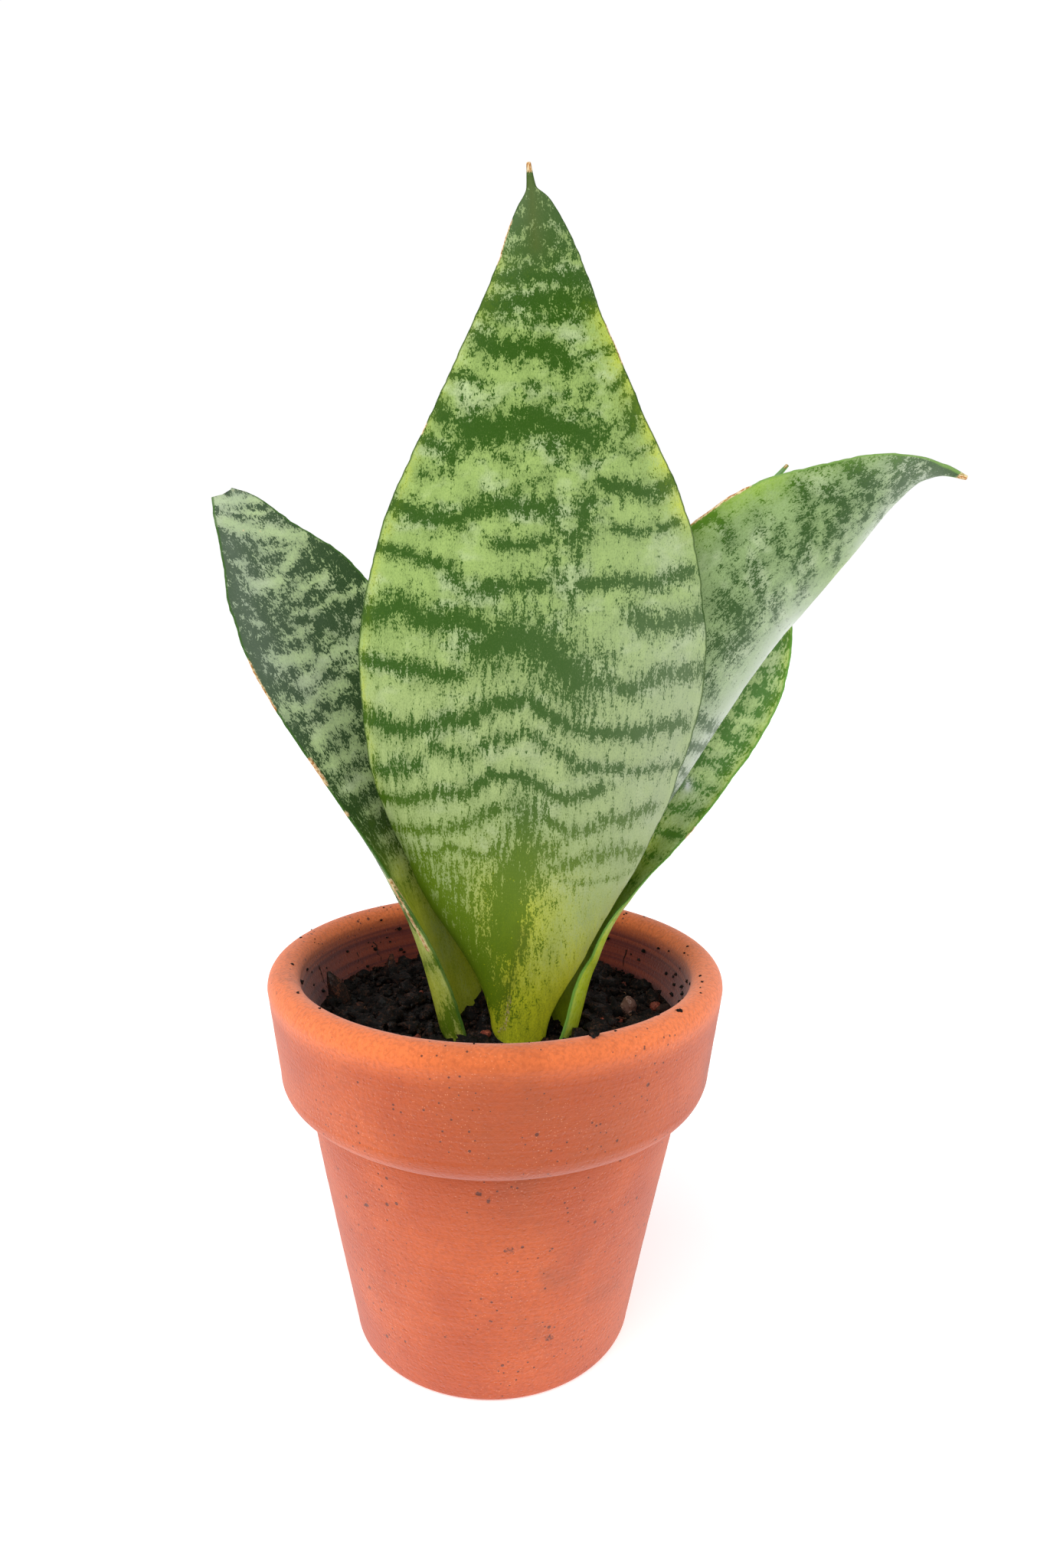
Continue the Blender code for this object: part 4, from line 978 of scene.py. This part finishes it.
# %% Leaves
LEFT_TIP = ((-1.0, -0.3, 0.1, 1.0), (-1.2, 1.0, 0.0, 0.4))
leaves = [leaf("front_leaf"), leaf("left_leaf", LEFT_TIP, grain=0.8, shift=0.6), leaf("right_leaf"),
          leaf("right_back_leaf", grain=0.6, shift=1.0)]

# %% [markdown]
# ## Soil
#
# Potting soil is a crust of crumbs. The body is turned like the pot and its top is pushed into
# lumps with noise. It is heaped up between two of the leaves, and pressed down in front of them.
# Loose crumbs, bark, clay granules and threads are laid on afterwards.

# %% Soil finish
def soil_finish(name, dark, light, glint=0.5):
    made, b, shader = new_finish(name, Specular_IOR_Level=glint)
    place = b.place()
    lumps = b.clouds(place, 700.0, 4.0, 0.65)
    grains = b.clouds(place, 2600.0, 2.0, 0.6)
    wet = b.between(b.clouds(place, 420.0, 3.0, 0.7), 0.5, 0.62)
    grainy = b.sums("ADD", lumps, b.sums("MULTIPLY", b.sums("SUBTRACT", grains, 0.5), 0.8))
    colour = b.mix(b.between(grainy, 0.5, 0.74), dark, light)
    colour = b.mix(b.sums("MULTIPLY", specks(b, place, 700.0, 0.12), 0.25), colour, linear(120, 92, 72))
    height = b.sums("ADD", lumps, b.sums("MULTIPLY", grains, 0.5))
    plug(b, shader, Base_Color=colour, Roughness=b.sums("SUBTRACT", 0.85, b.sums("MULTIPLY", wet, 0.6)),
         Normal=b.bump(height, 0.0005, 0.9))
    return made


soil_skin = soil_finish("potting_soil_skin", linear(5, 3, 2), linear(62, 38, 26), 0.22)
bark_skin = soil_finish("bark_skin", linear(34, 18, 12), linear(92, 50, 32), 0.3)
clay_skin = soil_finish("fired_clay_skin", linear(110, 48, 34), linear(168, 88, 66), 0.3)
stone_skin = soil_finish("stone_skin", linear(96, 66, 54), linear(150, 120, 106), 0.4)
print("soil finishes made")


# %% Soil body
# Places and spreads are from the axis, in millimetres.
HEAP_PLACE, HEAP_SPREAD, HEAP_HEIGHT = (-1.5, -7.5), (3.4, 3.4), 5.0  # between the feet of two leaves
DIP_PLACE, DIP_SPREAD, DIP_DEPTH = (3.0, -20.0), (17.0, 6.0), 3.0  # pressed down in front of the feet
CHIP_SPREAD = (3.0, 3.0)  # the crust stays up under the chip that lies in the dip
chip_low, chip_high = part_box("bark_chip_1")
CHIP_PLACE = tuple(((chip_low + chip_high) / 2 - AXIS) / MM)[:2]


def mound(x, y, place, spread):
    """1 at a place and less around it, like a soft mound. Place and spread are in millimetres."""
    across, along = (x / MM - place[0]) / spread[0], (y / MM - place[1]) / spread[1]
    return math.exp(-(across**2 + along**2) / 2)


def soil_lift(x, y):
    """Height of the crumbly crust over the soil's level, in metres, at a point from the axis."""
    at = Vector((x, y, 0))
    coarse = noise.noise(at * 90) + 0.7 * noise.noise(at * 230 + Vector((5, 3, 1)))
    crumbs = 0.6 - noise.voronoi(at * 420)[0][0]
    heap = HEAP_HEIGHT * mound(x, y, HEAP_PLACE, HEAP_SPREAD)
    dip = DIP_DEPTH * mound(x, y, DIP_PLACE, DIP_SPREAD) * (1 - mound(x, y, CHIP_PLACE, CHIP_SPREAD))
    return MM * (0.7 * coarse + crumbs - 0.2 + heap - dip)


SOIL_GAP = 0.3 * MM  # between the soil and the wall
SOIL_RINGS = 75
SOIL_REACH = wall_radius(SOIL_TOP) - SOIL_GAP
SOIL_FLOOR = FLOOR_TOP + SOIL_GAP
soil_bend = SOIL_FLOOR + FLOOR_ROUND
outline = [(0.0, SOIL_FLOOR)]
outline += arc((wall_radius(soil_bend) - SOIL_GAP - FLOOR_ROUND, soil_bend), FLOOR_ROUND, -90, 0, 5)
outline += [(SOIL_REACH * ring / SOIL_RINGS, SOIL_TOP) for ring in range(SOIL_RINGS, -1, -1)]
bm = spun(outline, 220, closed=False)
for vert in bm.verts:
    x, y, z = vert.co
    away = math.hypot(x, y)
    if z > SOIL_TOP - MM / 10 and away < SOIL_REACH - MM / 10:
        vert.co.z += soil_lift(x, y) + 1.2 * MM * max(0, away / SOIL_REACH - 0.8)
bmesh.ops.translate(bm, verts=bm.verts, vec=AXIS)
piece_from(bm, "potting_soil", soil_skin, ["soil"])

# %% [markdown]
# ## Crumbs
#
# Some thousands of crumbs lie on the crust, most of them tiny. Each is a cube whose edges are cut
# twice, pushed towards a ball, so it has a few dozen faces and the whole heap stays light. Six
# shapes are made with noise, and copies are turned, stretched and scattered with a seeded hand. A
# crumb that would poke into a leaf is left out.

# %% Crumb shapes
hand = random.Random(42)


def crumb_shape(seed, rugged, cuts=2):
    """A rough lump about 1 across."""
    bm = bmesh.new()
    bmesh.ops.create_cube(bm, size=1.0)
    bmesh.ops.subdivide_edges(bm, edges=bm.edges[:], cuts=cuts, use_grid_fill=True)
    for vert in bm.verts:
        ball = vert.co.normalized() * 0.5
        push = 1 + rugged * noise.noise(ball * 3.1 + Vector((seed, 0, 0)))
        vert.co = vert.co.lerp(ball, 0.75) * push
    mesh = bpy.data.meshes.new(f"crumb_shape_{seed}")
    bm.to_mesh(mesh)
    bm.free()
    return mesh


shapes = [crumb_shape(seed, 0.9) for seed in range(6)]
leaf_trees = [BVHTree.FromObject(o, bpy.context.evaluated_depsgraph_get()) for o in leaves]


def clear_of_leaves(spot, size):
    """True if a lump of that size there stays out of every leaf."""
    for tree in leaf_trees:
        near, normal, _, gap = tree.find_nearest(spot)
        if near is not None and (gap < size * 0.5 or (spot - near).dot(normal) < 0):
            return False
    return True


def lay(bm, lump, transform):
    """Adds a copy of a lump to a heap, turned, stretched and moved."""
    copy = lump.copy()
    copy.transform(transform)
    bm.from_mesh(copy)
    bpy.data.meshes.remove(copy)


def scatter(name, finish, count, sizes, flat=0.75, long=1.3, sink=0.25):
    """One piece made of many lumps laid on the soil."""
    bm = bmesh.new()
    laid = 0
    while laid < count:
        away = SOIL_REACH * math.sqrt(hand.random()) * 0.985
        bearing = hand.uniform(0, math.tau)
        size = hand.uniform(*sizes) * (hand.random() ** 0.7 + 0.35) * MM
        if away > SOIL_REACH - size * 0.5:
            continue
        x, y = away * math.cos(bearing), away * math.sin(bearing)
        spot = AXIS + Vector((x, y, SOIL_TOP + soil_lift(x, y) + size * (0.5 - sink)))
        laid += 1
        if not clear_of_leaves(spot, size):
            continue
        lump = hand.choice(shapes)
        turn = Matrix.Rotation(hand.uniform(0, math.tau), 4, "Z")
        tilt = Matrix.Rotation(hand.uniform(-0.6, 0.6), 4, "X")
        stretch = Matrix.Diagonal((size * hand.uniform(1, long), size, size * hand.uniform(flat, 1), 1))
        lay(bm, lump, Matrix.Translation(spot) @ turn @ tilt @ stretch)
    return piece_from(bm, name, finish)


# %% Crumbs
scatter("soil_crumbs", soil_skin, 1100, (1.0, 3.4), flat=0.6, sink=0.15)
scatter("fine_crumbs", soil_skin, 2600, (0.3, 1.0), sink=-0.2)
scatter("bark_crumbs", bark_skin, 90, (0.8, 2.2), flat=0.3, long=2.2)
scatter("clay_crumbs", clay_skin, 40, (0.7, 1.7), flat=0.7, long=1.3)

# %% [markdown]
# ## Dirt and root threads
#
# Repotting leaves crumbs on the lip and on the wall inside the mouth, and a few hair roots lie on
# the soil or cling to the wall. A thread is a curve with a round section, turned into a mesh.


# %% Dirt on the lip
def on_lip(bearing, roll):
    """A point on the rounded lip. Roll 0 is its crown, negative towards the mouth, in radians."""
    radius = RIM_RADIUS - LIP_ROUND + LIP_ROUND * math.sin(roll)
    height = POT_HEIGHT - LIP_ROUND + LIP_ROUND * math.cos(roll)
    return AXIS + Vector((radius * math.cos(bearing), radius * math.sin(bearing), height))


def on_wall(bearing, z):
    return AXIS + Vector((wall_radius(z) * math.cos(bearing), wall_radius(z) * math.sin(bearing), z))


bm = bmesh.new()
# Two larger crumbs lie at the front of the lip, and the rest are strewn at random.
spots = [(on_lip(math.radians(-66), -0.1), 1.7 * MM), (on_lip(math.radians(-40), 0.2), 0.9 * MM)]
for _ in range(60):
    spots.append((on_lip(hand.uniform(0, math.tau), hand.gauss(-0.7, 0.5)), hand.uniform(0.2, 0.6) * MM))
for _ in range(110):
    spots.append((on_wall(hand.uniform(0, math.tau), hand.uniform(SOIL_TOP, POT_HEIGHT - LIP_ROUND)),
                  hand.uniform(0.3, 1.0) * MM))
for spot, size in spots:
    lump = hand.choice(shapes)
    turn = Matrix.Rotation(hand.uniform(0, math.tau), 4, "Z")
    lay(bm, lump, Matrix.Translation(spot) @ turn @ Matrix.Diagonal((size * 1.4, size, size * 0.8, 1)))
piece_from(bm, "dirt_on_lip", soil_skin)


# %% Root threads
def thread_piece(name, finish, paths, radius):
    """One piece made of threads, each a list of points."""
    curve = bpy.data.curves.new(name, "CURVE")
    curve.dimensions = "3D"
    curve.bevel_depth = radius
    curve.bevel_resolution = 1
    curve.use_fill_caps = True
    for path in paths:
        spline = curve.splines.new("POLY")
        spline.points.add(len(path) - 1)
        for i, (point, place) in enumerate(zip(spline.points, path)):
            point.co = (*place, 1)
            point.radius = 1 - 0.7 * i / len(path)
    holder = bpy.data.objects.new(name + "_curve", curve)
    bm = bmesh.new()
    bm.from_mesh(holder.to_mesh())
    bpy.data.objects.remove(holder)
    return piece_from(bm, name, finish)


def soil_thread(x, y, bearing, length):
    """A wandering line over the soil, starting x, y millimetres from the axis."""
    path = []
    for _ in range(round(length)):
        over = soil_lift(x * MM, y * MM) + hand.uniform(0.5, 1.3) * MM
        path.append(AXIS + Vector((x * MM, y * MM, SOIL_TOP + over)))
        bearing += hand.uniform(-0.45, 0.45)
        x, y = x + math.cos(bearing), y + math.sin(bearing)
    return path


def wall_thread(bearing, top, length):
    """A line down the wall inside the mouth: bearing in degrees, top and length in millimetres."""
    path = []
    for step in range(round(length)):
        path.append(on_wall(math.radians(bearing), POT_HEIGHT - (top + step) * MM))
        bearing += hand.uniform(-1.6, 1.6)
    return path


# %% Threads laid
thread_skin = soil_finish("thread_skin", linear(60, 34, 20), linear(150, 110, 76), 0.3)
# A thread on the soil has x, y, bearing in radians and length. A thread on the wall has bearing in
# degrees, top and length. Places and lengths are in millimetres.
ON_SOIL = ((-34, -8, 1.2, 11), (-28, 12, 0.4, 14), (-22, -22, 2.4, 9), (27, -16, 0.9, 12),
           (33, 4, 1.9, 10), (20, 14, 2.6, 13), (-12, 24, 0.2, 12), (30, -4, 4.2, 8))
ON_WALL = ((62, 4, 11), (66, 6, 8), (140, 7, 6), (148, 8, 5), (40, 8, 5), (170, 6, 7))
laid = [soil_thread(*start) for start in ON_SOIL]
hung = [wall_thread(*start) for start in ON_WALL]
thread_piece("root_threads", thread_skin, laid, 0.16 * MM)
thread_piece("wall_threads", bark_skin, hung, 0.18 * MM)

# %% [markdown]
# ## Stones, chips and twigs
#
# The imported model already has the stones, chips and twigs that can be told apart. Each keeps its
# place and size. A copy of its mesh is merged, cut finer and roughened, and stands for it.


# %% Finer copies
def finer_copy(node, finish, cuts, rugged, scale):
    """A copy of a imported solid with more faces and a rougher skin, which stands for it."""
    bm = bmesh.new()
    bm.from_mesh(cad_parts[node].data)
    bmesh.ops.remove_doubles(bm, verts=bm.verts, dist=MM / 1000)
    bmesh.ops.subdivide_edges(bm, edges=bm.edges[:], cuts=cuts, use_grid_fill=True, smooth=0.4)
    bm.normal_update()
    for vert in bm.verts:
        push = noise.noise(vert.co * scale) + 0.5 * noise.noise(vert.co * scale * 2.3)
        vert.co += vert.normal * push * rugged
    return piece_from(bm, node + "_detail", finish, [node])


finer_copy("pale_stone", stone_skin, 3, 0.22 * MM, 700)
for number in range(1, 6):
    finer_copy(f"clay_grit_{number}", clay_skin, 3, 0.2 * MM, 900)
for number in range(1, 4):
    finer_copy(f"bark_chip_{number}", bark_skin, 3, 0.22 * MM, 800)
for node in ("rim_twig", "back_twig"):
    finer_copy(node, bark_skin, 4, 0.22 * MM, 500)

# %% [markdown]
# ## Stem and roots
#
# The stem and the roots lie inside the soil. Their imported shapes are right, so they stay and only
# get their finishes: a pale, ringed, woody skin and a dry straw colour.


# %% Stem and root finishes
def woody(name, dark, light, rings):
    """A fibrous skin of two colours, with lines stretched by the three values of rings."""
    made, b, shader = new_finish(name)
    place = b.place()
    lines = b.clouds(b.stretch(place, rings), 1.0, 3.0, 0.6)
    fuzz = b.clouds(place, 900.0, 2.0)
    colour = b.mix(b.between(lines, 0.35, 0.65), dark, light)
    relief = b.bump(b.sums("ADD", lines, fuzz), 0.0003, 0.8)
    plug(b, shader, Base_Color=colour, Roughness=b.between(fuzz, 0.3, 0.7, 0.6, 0.85), Normal=relief)
    return made


stem_skin = woody("rhizome_skin", linear(150, 96, 44), linear(205, 160, 92), (700, 120, 120))
root_skin = woody("root_skin", linear(150, 118, 78), linear(205, 178, 132), (250, 250, 250))
for name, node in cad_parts.items():
    if name == "rhizome" or name.startswith("root_"):
        node.data.materials.clear()
        node.data.materials.append(stem_skin if name == "rhizome" else root_skin)
print("stem and roots finished")
